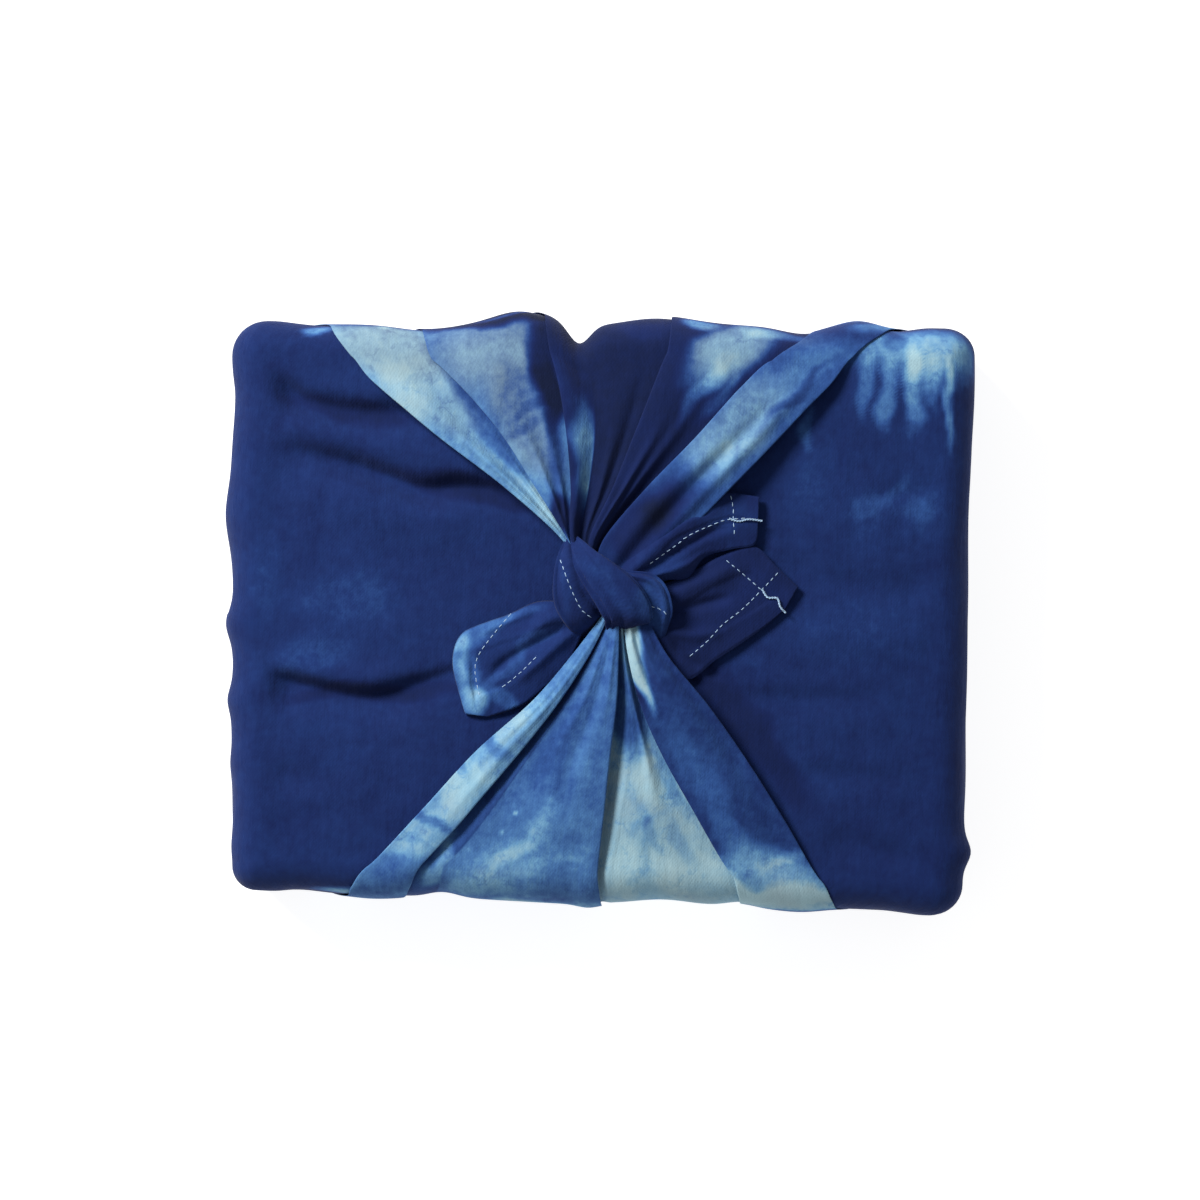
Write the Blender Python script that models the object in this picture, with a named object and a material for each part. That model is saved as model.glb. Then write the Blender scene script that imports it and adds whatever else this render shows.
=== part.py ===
"""Furoshiki wrap: one square of dyed cotton folded round a flat parcel, two corners knotted on top.

The cloth is one uncut square, so the wrap is one closed solid. It is joined from the wrapped parcel
with its two smooth end panels, the two pleated fans that climb from the long sides to the knot,
the bands of the knot, and the three loose tails. +X runs along the parcel, +Y across it and +Z up,
with the origin at the middle of the base. Tables are in millimetres.
"""

import math

import bmesh
import bpy
from mathutils import Vector

MM = 0.001

# Driving dimensions
PARCEL_HEIGHT = 70.0
CROWN = 4.0  # how far the middle of the top stands above its rim
RIM_RADIUS = 14.0  # rounding of the cloth over the parcel's top edges
BASE_RADIUS = 6.0
SIDE_BULGE = 2.5
SIDE_WAVE_DEPTH = 45.0  # the edge waves die out this far in from the outline
LAYER = 2.0  # a folded edge of the cloth, as it shows
SLOT = 0.6  # the gap left under a pleat's edge
EMBED = 5.0  # how deep a fan is rooted in the parcel below it
DOME_HALF_LENGTH = 178.0  # the crown is highest in the middle and dies out at these distances
DOME_HALF_WIDTH = 142.0
DOME_EDGE = 30.0  # width of the band behind the rim in which the crown and the creases begin
LEAST_CORNER = 3.0  # a corner's radius doesn't get smaller than this on the way in
CREASE_FADE_OUT = 0.3  # a crease fades in over this share of its length at the outer end
CREASE_FADE_IN = 0.4  # and out over this share at the knot
PLEAT_SWELL = 0.6  # how far the cloth bellies up between two folds
LIP_ROUNDING = 0.4  # half the rounding of a pleat's open edge

# Steps of the meshes
BASE_HEIGHTS = (0.0, 1.5)  # sections that round the base
SIDE_HEIGHTS = (24.0, 42.0)  # sections up the side
RIM_ANGLES = (25, 48, 70)  # sections that round the rim, in degrees
ARC_STEPS = 5
LONG_SIDE_STEPS = 26
SHORT_SIDE_STEPS = 20
END_SHARE = 0.08  # the outline's waves begin within this share of a side from a corner
SUBSTEPS = 2  # sections of a fan between two named ones
SHARES_BETWEEN_FOLDS = (0.25, 0.5, 0.75)

CLOTH_NAVY = (0.011, 0.030, 0.135)

# The parcel's outline seen from above, corner by corner
CORNERS = (
    # side that follows, x, y, radius
    ("left", -178.0, 142.0, 18.0),
    ("front", -178.0, -134.0, 13.0),
    ("right", 175.5, -146.0, 16.0),
    ("back", 181.0, 138.5, 14.0),
)

# Soft bulges and hollows of the cloth along the outline
WAVES = (
    # side, place along the side, how far out, half width
    ("left", 105.0, -1.5, 20.0),
    ("left", 48.0, 3.0, 16.0),
    ("left", -5.0, 3.0, 9.0),
    ("left", -41.0, 2.0, 7.0),
    ("left", -72.0, 1.0, 8.0),
    ("left", -119.0, 2.0, 10.0),
    ("right", -117.0, 4.5, 9.0),
    ("right", 30.0, -1.0, 30.0),
    ("back", -84.0, -3.0, 20.0),
    ("back", -38.0, 6.5, 18.0),
    ("back", -10.0, -9.0, 7.0),
    ("back", 28.0, 4.0, 22.0),
    ("back", 98.0, -3.0, 14.0),
    ("back", 126.0, 3.0, 12.0),
    ("front", -118.0, 2.0, 20.0),
    ("front", -76.0, -2.5, 10.0),
    ("front", -6.0, 1.5, 7.0),
    ("front", 30.0, -2.5, 18.0),
    ("front", 68.0, -2.0, 10.0),
    ("front", 98.0, 1.5, 14.0),
)

# Creases of the two end panels, drawn in towards the knot
CREASES = (
    # x and y at the outer end, x and y at the knot, height, half width
    (-150.0, 100.0, -40.0, 44.0, -3.0, 13.0),
    (-150.0, 62.0, -44.0, 28.0, 2.5, 12.0),
    (-165.0, -26.0, -50.0, -36.0, -3.5, 9.0),
    (-160.0, -78.0, -70.0, -62.0, 1.5, 14.0),
    (165.0, 48.0, 60.0, 18.0, -2.0, 14.0),
    (165.0, -20.0, 55.0, -12.0, 2.0, 16.0),
    (160.0, -84.0, 60.0, -30.0, -2.0, 14.0),
)

# Sections of the parcel's skin, from the base up and in over the top
PROFILE_INSETS = (22.0, 34.0, 50.0, 68.0, 88.0, 108.0, 126.0)

# A fan's sections from the knot out to the rim and down the side
FAN_STATIONS = (
    # name, inset of the upper fan, inset of the lower fan, drop, lean, lift, share of fold height
    ("tied", 118.0, 134.0, 0.0, 0.0, 8.0, 0.3),
    ("knot", 104.0, 122.0, 0.0, 0.0, 8.0, 0.7),
    ("inner", 80.0, 98.0, 0.0, 0.0, 5.5, 1.0),
    ("middle", 55.0, 73.0, 0.0, 0.0, 3.5, 1.0),
    ("outer", 30.0, 45.0, 0.0, 0.0, 2.0, 1.0),
    ("rim", 14.0, 14.0, 0.0, 0.0, 0.8, 0.7),
    ("rim turn", 4.0, 4.0, 4.0, 45.0, -0.6, 0.5),
    ("side", 0.0, 0.0, 14.0, 90.0, -1.2, 0.4),
    ("low side", 0.0, 0.0, 40.0, 90.0, -1.2, 0.4),
    ("base", 0.0, 0.0, 63.0, 90.0, -1.5, 0.3),
)

# Folds across each fan, left to right. A pleat's open edge faces left or right and laps over its
# neighbour; low is the height beside the edge and high the height of the edge itself.
UPPER_FOLDS = (
    # kind, low, high, x at tied, knot, inner, middle, outer, rim, rim turn, side, low side, base
    ("end", 0.0, 2.0, (-11, -19, -45, -78, -108, -122, -128, -132, -142, -152)),
    ("soft", 5.0, 5.0, (-9, -16, -31, -46, -70, -83, -86, -88, -94, -100)),
    ("left", 2.5, 7.5, (-6, -14, -14, -16, -20, -24, -26, -27, -32, -38)),
    ("soft", 1.0, 1.0, (-3, -9, -5, -2, -3, -8, -9, -10, -8, -6)),
    ("left", 1.5, 8.0, (0, -5, 6, 16, 26, 32, 34, 35, 39, 44)),
    ("left", 2.5, 7.5, (4, -1, 21, 45, 69, 88, 96, 101, 112, 124)),
    ("end", 0.0, 4.0, (12, 32, 62, 86, 109, 128, 136, 141, 150, 158)),
)
LOWER_FOLDS = (
    ("end", 0.0, 3.0, (-6, -12, -35, -62, -88, -112, -117, -120, -130, -142)),
    ("right", 0.5, 5.5, (-3, -5, -20, -38, -62, -86, -91, -95, -106, -116)),
    ("soft", 4.0, 4.0, (-1, -3, -15, -32, -51, -72, -76, -79, -88, -98)),
    ("right", 0.5, 8.0, (4, 9, 8, 5, 2, -1, 0, 1, 0, -2)),
    ("soft", 5.0, 5.0, (6, 12, 14, 16, 12, 6, 6, 7, 8, 8)),
    ("left", 1.5, 6.0, (8, 14, 19, 30, 46, 62, 66, 68, 74, 80)),
    ("end", 0.0, 5.0, (16, 31, 50, 68, 87, 105, 109, 112, 122, 134)),
)
LAP_SHARE = 0.3  # a pleat's hidden lap, as a share of the room beside it
MOST_LAP = 8.0

# Bands of the knot: the middle line of each, with the band's full width and thickness
LEFT_BAND = (
    # x, y, z, width, thickness
    (-9.0, 38.0, 78.0, 5.0, 5.0),
    (-15.0, 28.0, 85.0, 12.0, 10.0),
    (-18.0, 16.0, 89.0, 15.0, 12.0),
    (-16.0, 5.0, 88.0, 15.0, 12.0),
    (-8.0, -3.0, 85.0, 14.0, 12.0),
    (4.0, -7.0, 78.0, 12.0, 10.0),
)
MIDDLE_BAND = (
    (-10.0, 38.0, 80.0, 5.0, 5.0),
    (-6.0, 26.0, 88.0, 14.0, 12.0),
    (2.0, 15.0, 92.0, 22.0, 14.0),
    (9.0, 4.0, 90.5, 23.0, 14.0),
    (13.0, -5.0, 84.0, 20.0, 13.0),
    (14.0, -10.0, 76.0, 16.0, 10.0),
)
RIGHT_BAND = (
    (2.0, 17.0, 82.0, 10.0, 10.0),
    (14.0, 15.0, 86.0, 15.0, 12.0),
    (25.0, 8.0, 85.0, 18.0, 13.0),
    (27.0, -4.0, 82.0, 15.0, 12.0),
    (24.0, -16.0, 77.0, 8.0, 6.0),
)
HEART = (2.0, 9.0, 78.0, 21.0, 24.0, 13.0)  # the knot's wound heart: centre, then half sizes
HEART_TURNS = 20
HEART_RINGS = 8
BAND_SIDES = 10

# Loose tails, from the knot to the tip: both edges seen from above, then how high the cloth's upper
# face stands over the crowned top at the first edge, the middle and the second edge
LEFT_TAIL = (
    # x, y of one edge, x, y of the other edge, the three heights
    (-16.0, 6.0, -8.0, -6.0, 10.0, 12.0, 10.0),
    (-30.0, 6.0, -15.0, -19.0, 8.5, 12.0, 8.5),
    (-44.0, 1.0, -22.0, -27.0, 6.5, 10.5, 7.5),
    (-55.0, -4.0, -28.0, -34.0, 5.5, 8.5, 6.5),
    (-65.0, -9.0, -34.0, -40.0, 5.0, 7.0, 5.5),
    (-70.0, -19.0, -42.0, -45.0, 4.5, 6.0, 5.0),
    (-70.0, -31.0, -50.0, -48.5, 4.5, 5.5, 4.5),
    (-66.0, -46.0, -60.0, -49.5, 4.5, 5.0, 4.5),
)
UPPER_RIGHT_TAIL = (
    (8.0, 24.0, 18.0, 12.0, 10.0, 14.0, 10.0),
    (20.0, 37.0, 32.0, 16.0, 11.0, 15.0, 9.5),
    (32.0, 48.0, 43.0, 20.0, 11.0, 14.0, 8.5),
    (46.0, 55.0, 53.0, 25.0, 10.0, 13.0, 8.5),
    (60.0, 57.5, 63.0, 30.0, 9.0, 11.0, 8.5),
    (76.0, 56.0, 73.0, 32.0, 8.0, 9.5, 8.0),
)
LOWER_RIGHT_TAIL = (
    (22.0, 12.0, 27.0, -16.0, 6.0, 8.0, 5.5),
    (38.0, 18.0, 38.0, -34.0, 5.5, 6.5, 4.5),
    (54.0, 24.0, 58.0, -18.0, 5.0, 6.0, 4.5),
    (70.0, 30.0, 76.0, -5.0, 4.5, 5.5, 4.5),
    (94.0, 13.0, 88.5, 3.0, 4.5, 5.0, 4.5),
)
SHARES_ACROSS_TAIL = (0.0, 0.12, 0.5, 0.88, 1.0)
HEM_EXTRA = 0.8  # a turned hem is this much thicker than the cloth


def clear_scene():
    """Start from an empty scene."""
    for item in list(bpy.data.objects):
        bpy.data.objects.remove(item, do_unlink=True)


def ease(share):
    """Rise softly from 0 to 1 as the share does."""
    share = min(max(share, 0.0), 1.0)
    return share * share * (3.0 - 2.0 * share)


def mix(first, second, share):
    """Go from the first value to the second as the share goes from 0 to 1."""
    return first + (second - first) * share


def curve_value(values, place):
    """Read a smooth curve through evenly spaced values, at a place counted in steps."""
    last = len(values) - 1
    start = min(int(place), last - 1)
    share = place - start
    before = values[max(start - 1, 0)]
    first, second = values[start], values[start + 1]
    after = values[min(start + 2, last)]
    return 0.5 * (
        2.0 * first
        + (second - before) * share
        + (2.0 * before - 5.0 * first + 4.0 * second - after) * share**2
        + (3.0 * first - before - 3.0 * second + after) * share**3
    )


def bell(distance, half_width):
    """A soft hump: 1 at no distance, and nearly 0 beyond twice the half width."""
    return math.exp(-((distance / half_width) ** 2))


def wave(side, along):
    """How far the cloth stands out at this place along a side."""
    return sum(out * bell(along - place, half) for name, place, out, half in WAVES if name == side)


def wave_fade(inset):
    """How much of the outline's waves is left this far in."""
    return 1.0 - ease(inset / SIDE_WAVE_DEPTH)


def side_inset(height):
    """How far the side lies in from the widest outline at this height."""
    inset = SIDE_BULGE * (1.0 - math.sin(math.pi * height / PARCEL_HEIGHT))
    if height < BASE_RADIUS:
        inset += BASE_RADIUS - math.sqrt(BASE_RADIUS**2 - (BASE_RADIUS - height) ** 2)
    over = height - (PARCEL_HEIGHT - RIM_RADIUS)
    if over > 0.0:
        inset += RIM_RADIUS - math.sqrt(RIM_RADIUS**2 - over**2)
    return inset


def crease_height(x, y):
    """Sum of the soft ridges and troughs that cross the panels at this place."""
    total = 0.0
    for x_out, y_out, x_in, y_in, height, half in CREASES:
        run = Vector((x_in - x_out, y_in - y_out))
        offset = Vector((x - x_out, y - y_out))
        along = offset.dot(run) / run.length_squared
        across = (offset - run * along).length
        outer = ease((along + 0.5 * CREASE_FADE_OUT) / CREASE_FADE_OUT)
        fade = outer * ease((1.25 - along) / CREASE_FADE_IN)
        total += height * fade * bell(across, half)
    return total


def top_height(x, y, inset):
    """Height of the parcel's top at a place this far in from its outline."""
    dome = (1.0 - (x / DOME_HALF_LENGTH) ** 2) * (1.0 - (y / DOME_HALF_WIDTH) ** 2)
    inland = ease((inset - RIM_RADIUS) / DOME_EDGE)
    return PARCEL_HEIGHT + inland * (CROWN * max(dome, 0.0) + crease_height(x, y))


def corner_arc(x, y, radius, inset):
    """Points round one corner of the outline, this far inside it."""
    inner = max(radius - inset, LEAST_CORNER)
    centre_x = x - math.copysign(inset + inner, x)
    centre_y = y - math.copysign(inset + inner, y)
    start = math.degrees(math.atan2(y, x)) // 90 * 90
    points = []
    for step in range(ARC_STEPS + 1):
        angle = math.radians(start + 90.0 * step / ARC_STEPS)
        points.append((centre_x + inner * math.cos(angle), centre_y + inner * math.sin(angle)))
    return points


def outline(inset):
    """Points round the parcel, anticlockwise from the back left corner, this far inside its outline."""
    arcs = [corner_arc(x, y, radius, inset) for _, x, y, radius in CORNERS]
    points = []
    outward = {"left": (-1, 0), "right": (1, 0), "back": (0, 1), "front": (0, -1)}
    for index, (side, *_) in enumerate(CORNERS):
        first, second = arcs[index][-1], arcs[(index + 1) % len(CORNERS)][0]
        steps = LONG_SIDE_STEPS if side in ("back", "front") else SHORT_SIDE_STEPS
        points += arcs[index]
        out_x, out_y = outward[side]
        for step in range(1, steps):
            share = step / steps
            x, y = mix(first[0], second[0], share), mix(first[1], second[1], share)
            ends = ease(min(share, 1.0 - share) / END_SHARE)
            out = ends * wave_fade(inset) * wave(side, y if out_x else x)
            points.append((x + out_x * out, y + out_y * out))
    return points


def loft(rings):
    """Skin a closed mesh over rings that all have the same number of points, and cap both ends."""
    mesh = bmesh.new()
    rows = [[mesh.verts.new(Vector(point) * MM) for point in ring] for ring in rings]
    count = len(rows[0])
    for lower, upper in zip(rows, rows[1:]):
        for index in range(count):
            after = (index + 1) % count
            mesh.faces.new((lower[index], lower[after], upper[after], upper[index]))
    mesh.faces.new(rows[0][::-1])
    mesh.faces.new(rows[-1])
    bmesh.ops.recalc_face_normals(mesh, faces=mesh.faces)
    return mesh


def add_object(name, mesh):
    """Put the mesh into the scene as an object with this name."""
    data = bpy.data.meshes.new(name)
    mesh.to_mesh(data)
    mesh.free()
    item = bpy.data.objects.new(name, data)
    bpy.context.scene.collection.objects.link(item)
    return item


def make_parcel():
    """The wrapped parcel: flat base, bulging sides, rounded rim and creased, slightly crowned top."""
    side_heights = [*BASE_HEIGHTS, BASE_RADIUS, *SIDE_HEIGHTS, PARCEL_HEIGHT - RIM_RADIUS]
    for angle in RIM_ANGLES:
        side_heights.append(PARCEL_HEIGHT - RIM_RADIUS * (1.0 - math.sin(math.radians(angle))))
    rings = []
    for height in side_heights:
        inset = side_inset(height)
        rings.append([(x, y, height) for x, y in outline(inset)])
    for inset in (RIM_RADIUS + SIDE_BULGE,) + PROFILE_INSETS:
        rings.append([(x, y, top_height(x, y, inset)) for x, y in outline(inset)])
    middle = rings[-1]
    level = sum(point[2] for point in middle) / len(middle)
    rings[-1] = [(x, y, level) for x, y, _ in middle]
    return add_object("wrapped_parcel", loft(rings))


def side_line(side, x):
    """Distance of the parcel's long side from the X axis at this x, before its waves."""
    corners = {row[0]: row for row in CORNERS}
    first, second = (("left", "back") if side > 0 else ("front", "right"))
    _, x_first, y_first, _ = corners[first]
    _, x_second, y_second, _ = corners[second]
    share = (x - x_first) / (x_second - x_first)
    return abs(mix(y_first, y_second, share))


def skin_point(side, x, station, height):
    """A point this high above the parcel's skin, at a station between the knot and the base."""
    inset, drop, lean = station[:3]
    name = "back" if side > 0 else "front"
    across = side_line(side, x) - inset + wave(name, x) * wave_fade(inset)
    if drop > 0.0:
        level = PARCEL_HEIGHT - drop
    else:
        level = top_height(x, side * across, inset)
    tilt = math.radians(lean)
    return (
        x,
        side * (across + height * math.sin(tilt)),
        level + height * math.cos(tilt),
    )


def lip_points(kind, low, high, x, room):
    """A pleat's open edge: in under the lap, back out below it, and round the edge to its top."""
    way = 1.0 if kind == "left" else -1.0
    lap = min(MOST_LAP, LAP_SHARE * room)
    under = max(high - LAYER, low + SLOT)
    lip = [
        (x, low),
        (x + way * lap, low),
        (x + way * lap, min(low + SLOT, under)),
        (x, under),
        (x - way * LIP_ROUNDING, (under + high) / 2.0),
        (x + way * LIP_ROUNDING, high),
    ]
    return lip if kind == "left" else lip[::-1]


def pleat_section(folds):
    """The fan's cross-section as (x, height) points, left to right, with a slot under each lap."""
    points = []
    last = len(folds) - 1
    for index, (kind, low, high, x) in enumerate(folds):
        room_left = x - folds[index - 1][3] if index else 0.0
        room_right = folds[index + 1][3] - x if index < last else 0.0
        if kind == "end" and index == 0:
            points += [(x, -EMBED), (x, high - LAYER), (x + LIP_ROUNDING, high)]
        elif kind == "end":
            points += [(x - LIP_ROUNDING, high), (x, high - LAYER), (x, -EMBED)]
        elif kind == "soft":
            points.append((x, high))
        else:
            room = room_right if kind == "left" else room_left
            points += lip_points(kind, low, high, x, room)
        if index < last:
            x_next, edge = folds[index + 1][3], folds[index + 1]
            start = high if kind in ("left", "soft", "end") else low
            finish = edge[1] if edge[0] == "left" else edge[2]
            for share in SHARES_BETWEEN_FOLDS:
                swell = PLEAT_SWELL * math.sin(math.pi * share)
                points.append((mix(x, x_next, share), mix(start, finish, ease(share)) + swell))
    for index in range(last, 0, -1):
        x, x_before = folds[index][3], folds[index - 1][3]
        points.append((mix(x, x_before, 0.5), -EMBED))
        if index > 1:
            points.append((x_before, -EMBED))
    return points


def make_fan(name, side, folds):
    """A pleated fan from the knot over the rim to the base; side is +1 at the back, -1 in front."""
    inset_column = 1 if side > 0 else 2
    columns = [[row[column] for row in FAN_STATIONS] for column in (inset_column, 3, 4, 5, 6)]
    rings = []
    for step in range((len(FAN_STATIONS) - 1) * SUBSTEPS + 1):
        place = step / SUBSTEPS
        inset, drop, lean, lift, share = (curve_value(column, place) for column in columns)
        station = (inset, max(drop, 0.0), min(max(lean, 0.0), 90.0))
        here = [
            (kind, lift + low * share, lift + high * share, curve_value(xs, place))
            for kind, low, high, xs in folds
        ]
        rings.append([skin_point(side, x, station, height) for x, height in pleat_section(here)])
    return add_object(name, loft(rings))


def make_band(name, rows):
    """A band of gathered cloth: flattened ellipses strung along its middle line."""
    columns = list(zip(*rows))
    steps = (len(rows) - 1) * SUBSTEPS
    spine = [[curve_value(column, step / SUBSTEPS) for column in columns] for step in range(steps + 1)]
    rings = []
    for index, (x, y, z, width, thickness) in enumerate(spine):
        before = Vector(spine[max(index - 1, 0)][:3])
        after = Vector(spine[min(index + 1, steps)][:3])
        along = (after - before).normalized()
        across = along.cross(Vector((0.0, 0.0, 1.0))).normalized()
        up = across.cross(along)
        ring = []
        for turn in range(BAND_SIDES):
            angle = math.tau * turn / BAND_SIDES
            offset = across * (0.5 * width * math.cos(angle)) + up * (0.5 * thickness * math.sin(angle))
            ring.append(tuple(Vector((x, y, z)) + offset))
        rings.append(ring)
    return add_object(name, loft(rings))


def make_heart():
    """The wound heart of the knot, a flattened ball."""
    x, y, z, half_x, half_y, half_z = HEART
    mesh = bmesh.new()
    bmesh.ops.create_uvsphere(mesh, u_segments=HEART_TURNS, v_segments=HEART_RINGS, radius=1.0)
    bmesh.ops.scale(mesh, vec=Vector((half_x, half_y, half_z)) * MM, verts=mesh.verts)
    bmesh.ops.translate(mesh, vec=Vector((x, y, z)) * MM, verts=mesh.verts)
    return add_object("knot_heart", mesh)


def make_tail(name, rows):
    """A loose corner of the cloth: a thin sheet, thicker along its turned hems."""
    columns = list(zip(*rows))
    steps = (len(rows) - 1) * SUBSTEPS
    rings = []
    for step in range(steps + 1):
        place = step / SUBSTEPS
        x_one, y_one, x_two, y_two, z_one, z_mid, z_two = (curve_value(c, place) for c in columns)
        upper, lower = [], []
        for share in SHARES_ACROSS_TAIL:
            x, y = mix(x_one, x_two, share), mix(y_one, y_two, share)
            arch = (z_mid - 0.5 * (z_one + z_two)) * math.sin(math.pi * share)
            z = PARCEL_HEIGHT + CROWN + mix(z_one, z_two, share) + arch
            thickness = LAYER - HEM_EXTRA if share == 0.5 else LAYER
            upper.append((x, y, z))
            lower.append((x, y, z - thickness))
        rings.append(upper + lower[::-1])
    return add_object(name, loft(rings))


def join(target, others):
    """Unite the others with the target, one Boolean after another, and keep the result."""
    for other in others:
        union = target.modifiers.new(other.name, "BOOLEAN")
        union.operation = "UNION"
        union.solver = "EXACT"
        union.object = other
        bpy.context.view_layer.update()
        graph = bpy.context.evaluated_depsgraph_get()
        merged = bpy.data.meshes.new_from_object(target.evaluated_get(graph))
        target.modifiers.clear()
        target.data = merged
        bpy.data.objects.remove(other, do_unlink=True)


def stand_on_origin(item):
    """Shift the mesh so that the middle of its base box is the origin."""
    points = [vertex.co for vertex in item.data.vertices]
    middle = [0.5 * (min(p[axis] for p in points) + max(p[axis] for p in points)) for axis in (0, 1)]
    for vertex in item.data.vertices:
        vertex.co.x -= middle[0]
        vertex.co.y -= middle[1]


def dyed_cotton():
    """Indigo-dyed plain-weave cotton: deep blue and matt."""
    material = bpy.data.materials.new("dyed_cotton")
    material.use_nodes = True
    shader = material.node_tree.nodes["Principled BSDF"]
    shader.inputs["Base Color"].default_value = (*CLOTH_NAVY, 1.0)
    shader.inputs["Roughness"].default_value = 0.9
    shader.inputs["Metallic"].default_value = 0.0
    return material


def main():
    """Make every part of the cloth, join them and finish the one solid."""
    clear_scene()
    cloth = make_parcel()
    pieces = [
        make_fan("upper_fan", 1, UPPER_FOLDS),
        make_fan("lower_fan", -1, LOWER_FOLDS),
        make_heart(),
        make_band("left_band", LEFT_BAND),
        make_band("middle_band", MIDDLE_BAND),
        make_band("right_band", RIGHT_BAND),
        make_tail("left_tail", LEFT_TAIL),
        make_tail("upper_right_tail", UPPER_RIGHT_TAIL),
        make_tail("lower_right_tail", LOWER_RIGHT_TAIL),
    ]
    join(cloth, pieces)
    cloth.name = "furoshiki_cloth"
    cloth.data.name = "furoshiki_cloth"
    stand_on_origin(cloth)
    cloth.data.materials.clear()
    cloth.data.materials.append(dyed_cotton())
    cloth.data.shade_smooth()
    cloth.data.set_sharp_from_angle(angle=math.radians(40.0))


main()
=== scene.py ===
# %% [markdown]
# # A furoshiki wrap in indigo tie-dyed cotton
# One square of cotton is folded round a flat parcel. Two corners are drawn smooth over the ends, and
# the other two climb the long sides in pleats and are knotted on top. Each part of the cloth is
# worked out here from short tables of places in millimetres, seen from above: x along the parcel,
# y across it, z up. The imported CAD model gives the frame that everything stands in.

# %% Load the frame
import math
import random

import bpy
import numpy as np
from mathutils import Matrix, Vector
from mathutils.bvhtree import BVHTree


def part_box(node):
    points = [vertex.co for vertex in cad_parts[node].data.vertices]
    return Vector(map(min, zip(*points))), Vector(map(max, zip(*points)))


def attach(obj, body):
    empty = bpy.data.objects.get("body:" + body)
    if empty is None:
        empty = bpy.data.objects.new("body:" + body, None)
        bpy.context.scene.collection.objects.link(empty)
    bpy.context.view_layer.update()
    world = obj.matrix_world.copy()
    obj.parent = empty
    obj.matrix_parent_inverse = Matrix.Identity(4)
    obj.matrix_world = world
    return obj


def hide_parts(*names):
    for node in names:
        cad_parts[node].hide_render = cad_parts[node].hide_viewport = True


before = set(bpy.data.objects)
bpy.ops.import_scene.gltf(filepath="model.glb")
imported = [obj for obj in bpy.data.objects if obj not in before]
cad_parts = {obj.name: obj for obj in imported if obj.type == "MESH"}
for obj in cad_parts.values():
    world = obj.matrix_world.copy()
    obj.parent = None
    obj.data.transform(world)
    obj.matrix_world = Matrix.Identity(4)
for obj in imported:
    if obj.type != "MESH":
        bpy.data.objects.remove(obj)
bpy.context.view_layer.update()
low_corner, high_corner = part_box("furoshiki_cloth")
print("CAD box, mm:", [round(1000 * (b - a), 1) for a, b in zip(low_corner, high_corner)])

MM = 0.001
BASE_MIDDLE = (0.04, 0.86)  # the middle of the parcel's base on the tables' own x and y

# %% [markdown]
# ## Camera
# The wrap is seen from straight above, as on a table under a copy stand. A long lens keeps the sides
# of the parcel from showing. The place and the lens are plain numbers, because nothing needs aiming.

# %% Camera
FIELD_OF_TABLE = 0.576  # metres from edge to edge of the view, measured at the height of the rim
RIM_HEIGHT = 0.062
CAMERA_HEIGHT = 2.26
CAMERA_OFF_MIDDLE = 0.0059  # metres, towards the back edge
SENSOR = 36.0

camera_data = bpy.data.cameras.new("copy_stand_camera")
camera_data.sensor_width = SENSOR
camera_data.lens = SENSOR * (CAMERA_HEIGHT - RIM_HEIGHT) / FIELD_OF_TABLE
camera = bpy.data.objects.new("copy_stand_camera", camera_data)
camera.location = (0.0, CAMERA_OFF_MIDDLE, CAMERA_HEIGHT)
bpy.context.scene.collection.objects.link(camera)
bpy.context.scene.camera = camera
print("lens, mm:", round(camera_data.lens, 1))

# %% [markdown]
# ## Numbers that the cloth is made from
# Soft folds need smooth curves. They could be sculpted, or come out of a cloth simulation, but neither
# lands on a given set of folds twice. Short tables do: a table holds only a few rows, and these helpers
# read a curve through them at as many places as the mesh needs.

# %% Curves and swells
def ease(share):
    """Rise softly from 0 to 1 as the share does."""
    share = np.clip(share, 0.0, 1.0)
    return share * share * (3.0 - 2.0 * share)


def mix(first, second, share):
    """Go from the first value to the second as the share goes from 0 to 1."""
    return first + (second - first) * share


def bell(distance, half_width):
    """A soft hump, 1 on its line and nearly 0 at twice its half width."""
    return np.exp(-((distance / half_width) ** 2))


def curve_at(table, places):
    """Read a smooth curve through the rows of a table, at places counted in rows."""
    rows = np.asarray(table, float)
    last = len(rows) - 1
    places = np.clip(np.asarray(places, float), 0.0, last)
    start = np.minimum(places.astype(int), last - 1)
    share = places - start
    if rows.ndim > 1:
        share = share[:, None]
    before, first = rows[np.maximum(start - 1, 0)], rows[start]
    second, after = rows[start + 1], rows[np.minimum(start + 2, last)]
    return 0.5 * (
        2.0 * first
        + (second - before) * share
        + (2.0 * before - 5.0 * first + 4.0 * second - after) * share**2
        + (3.0 * first - before - 3.0 * second + after) * share**3
    )


def swells(across, along, size, seed, count=20):
    """Smooth random swells of about this size in mm, mostly between -1 and 1."""
    chance = random.Random(seed)
    total = np.zeros(np.broadcast(across, along).shape)
    for _ in range(count):
        turn, phase = chance.uniform(0.0, math.tau), chance.uniform(0.0, math.tau)
        pitch = math.tau / (size * chance.uniform(1.2, 3.0))
        total += np.cos(pitch * (across * math.cos(turn) + along * math.sin(turn)) + phase)
    return total / math.sqrt(2.0 * count)


sample = swells(np.arange(0.0, 300.0), 0.0, 16.0, 11)
print("16 mm swells run from", round(float(sample.min()), 2), "to", round(float(sample.max()), 2))
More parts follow.
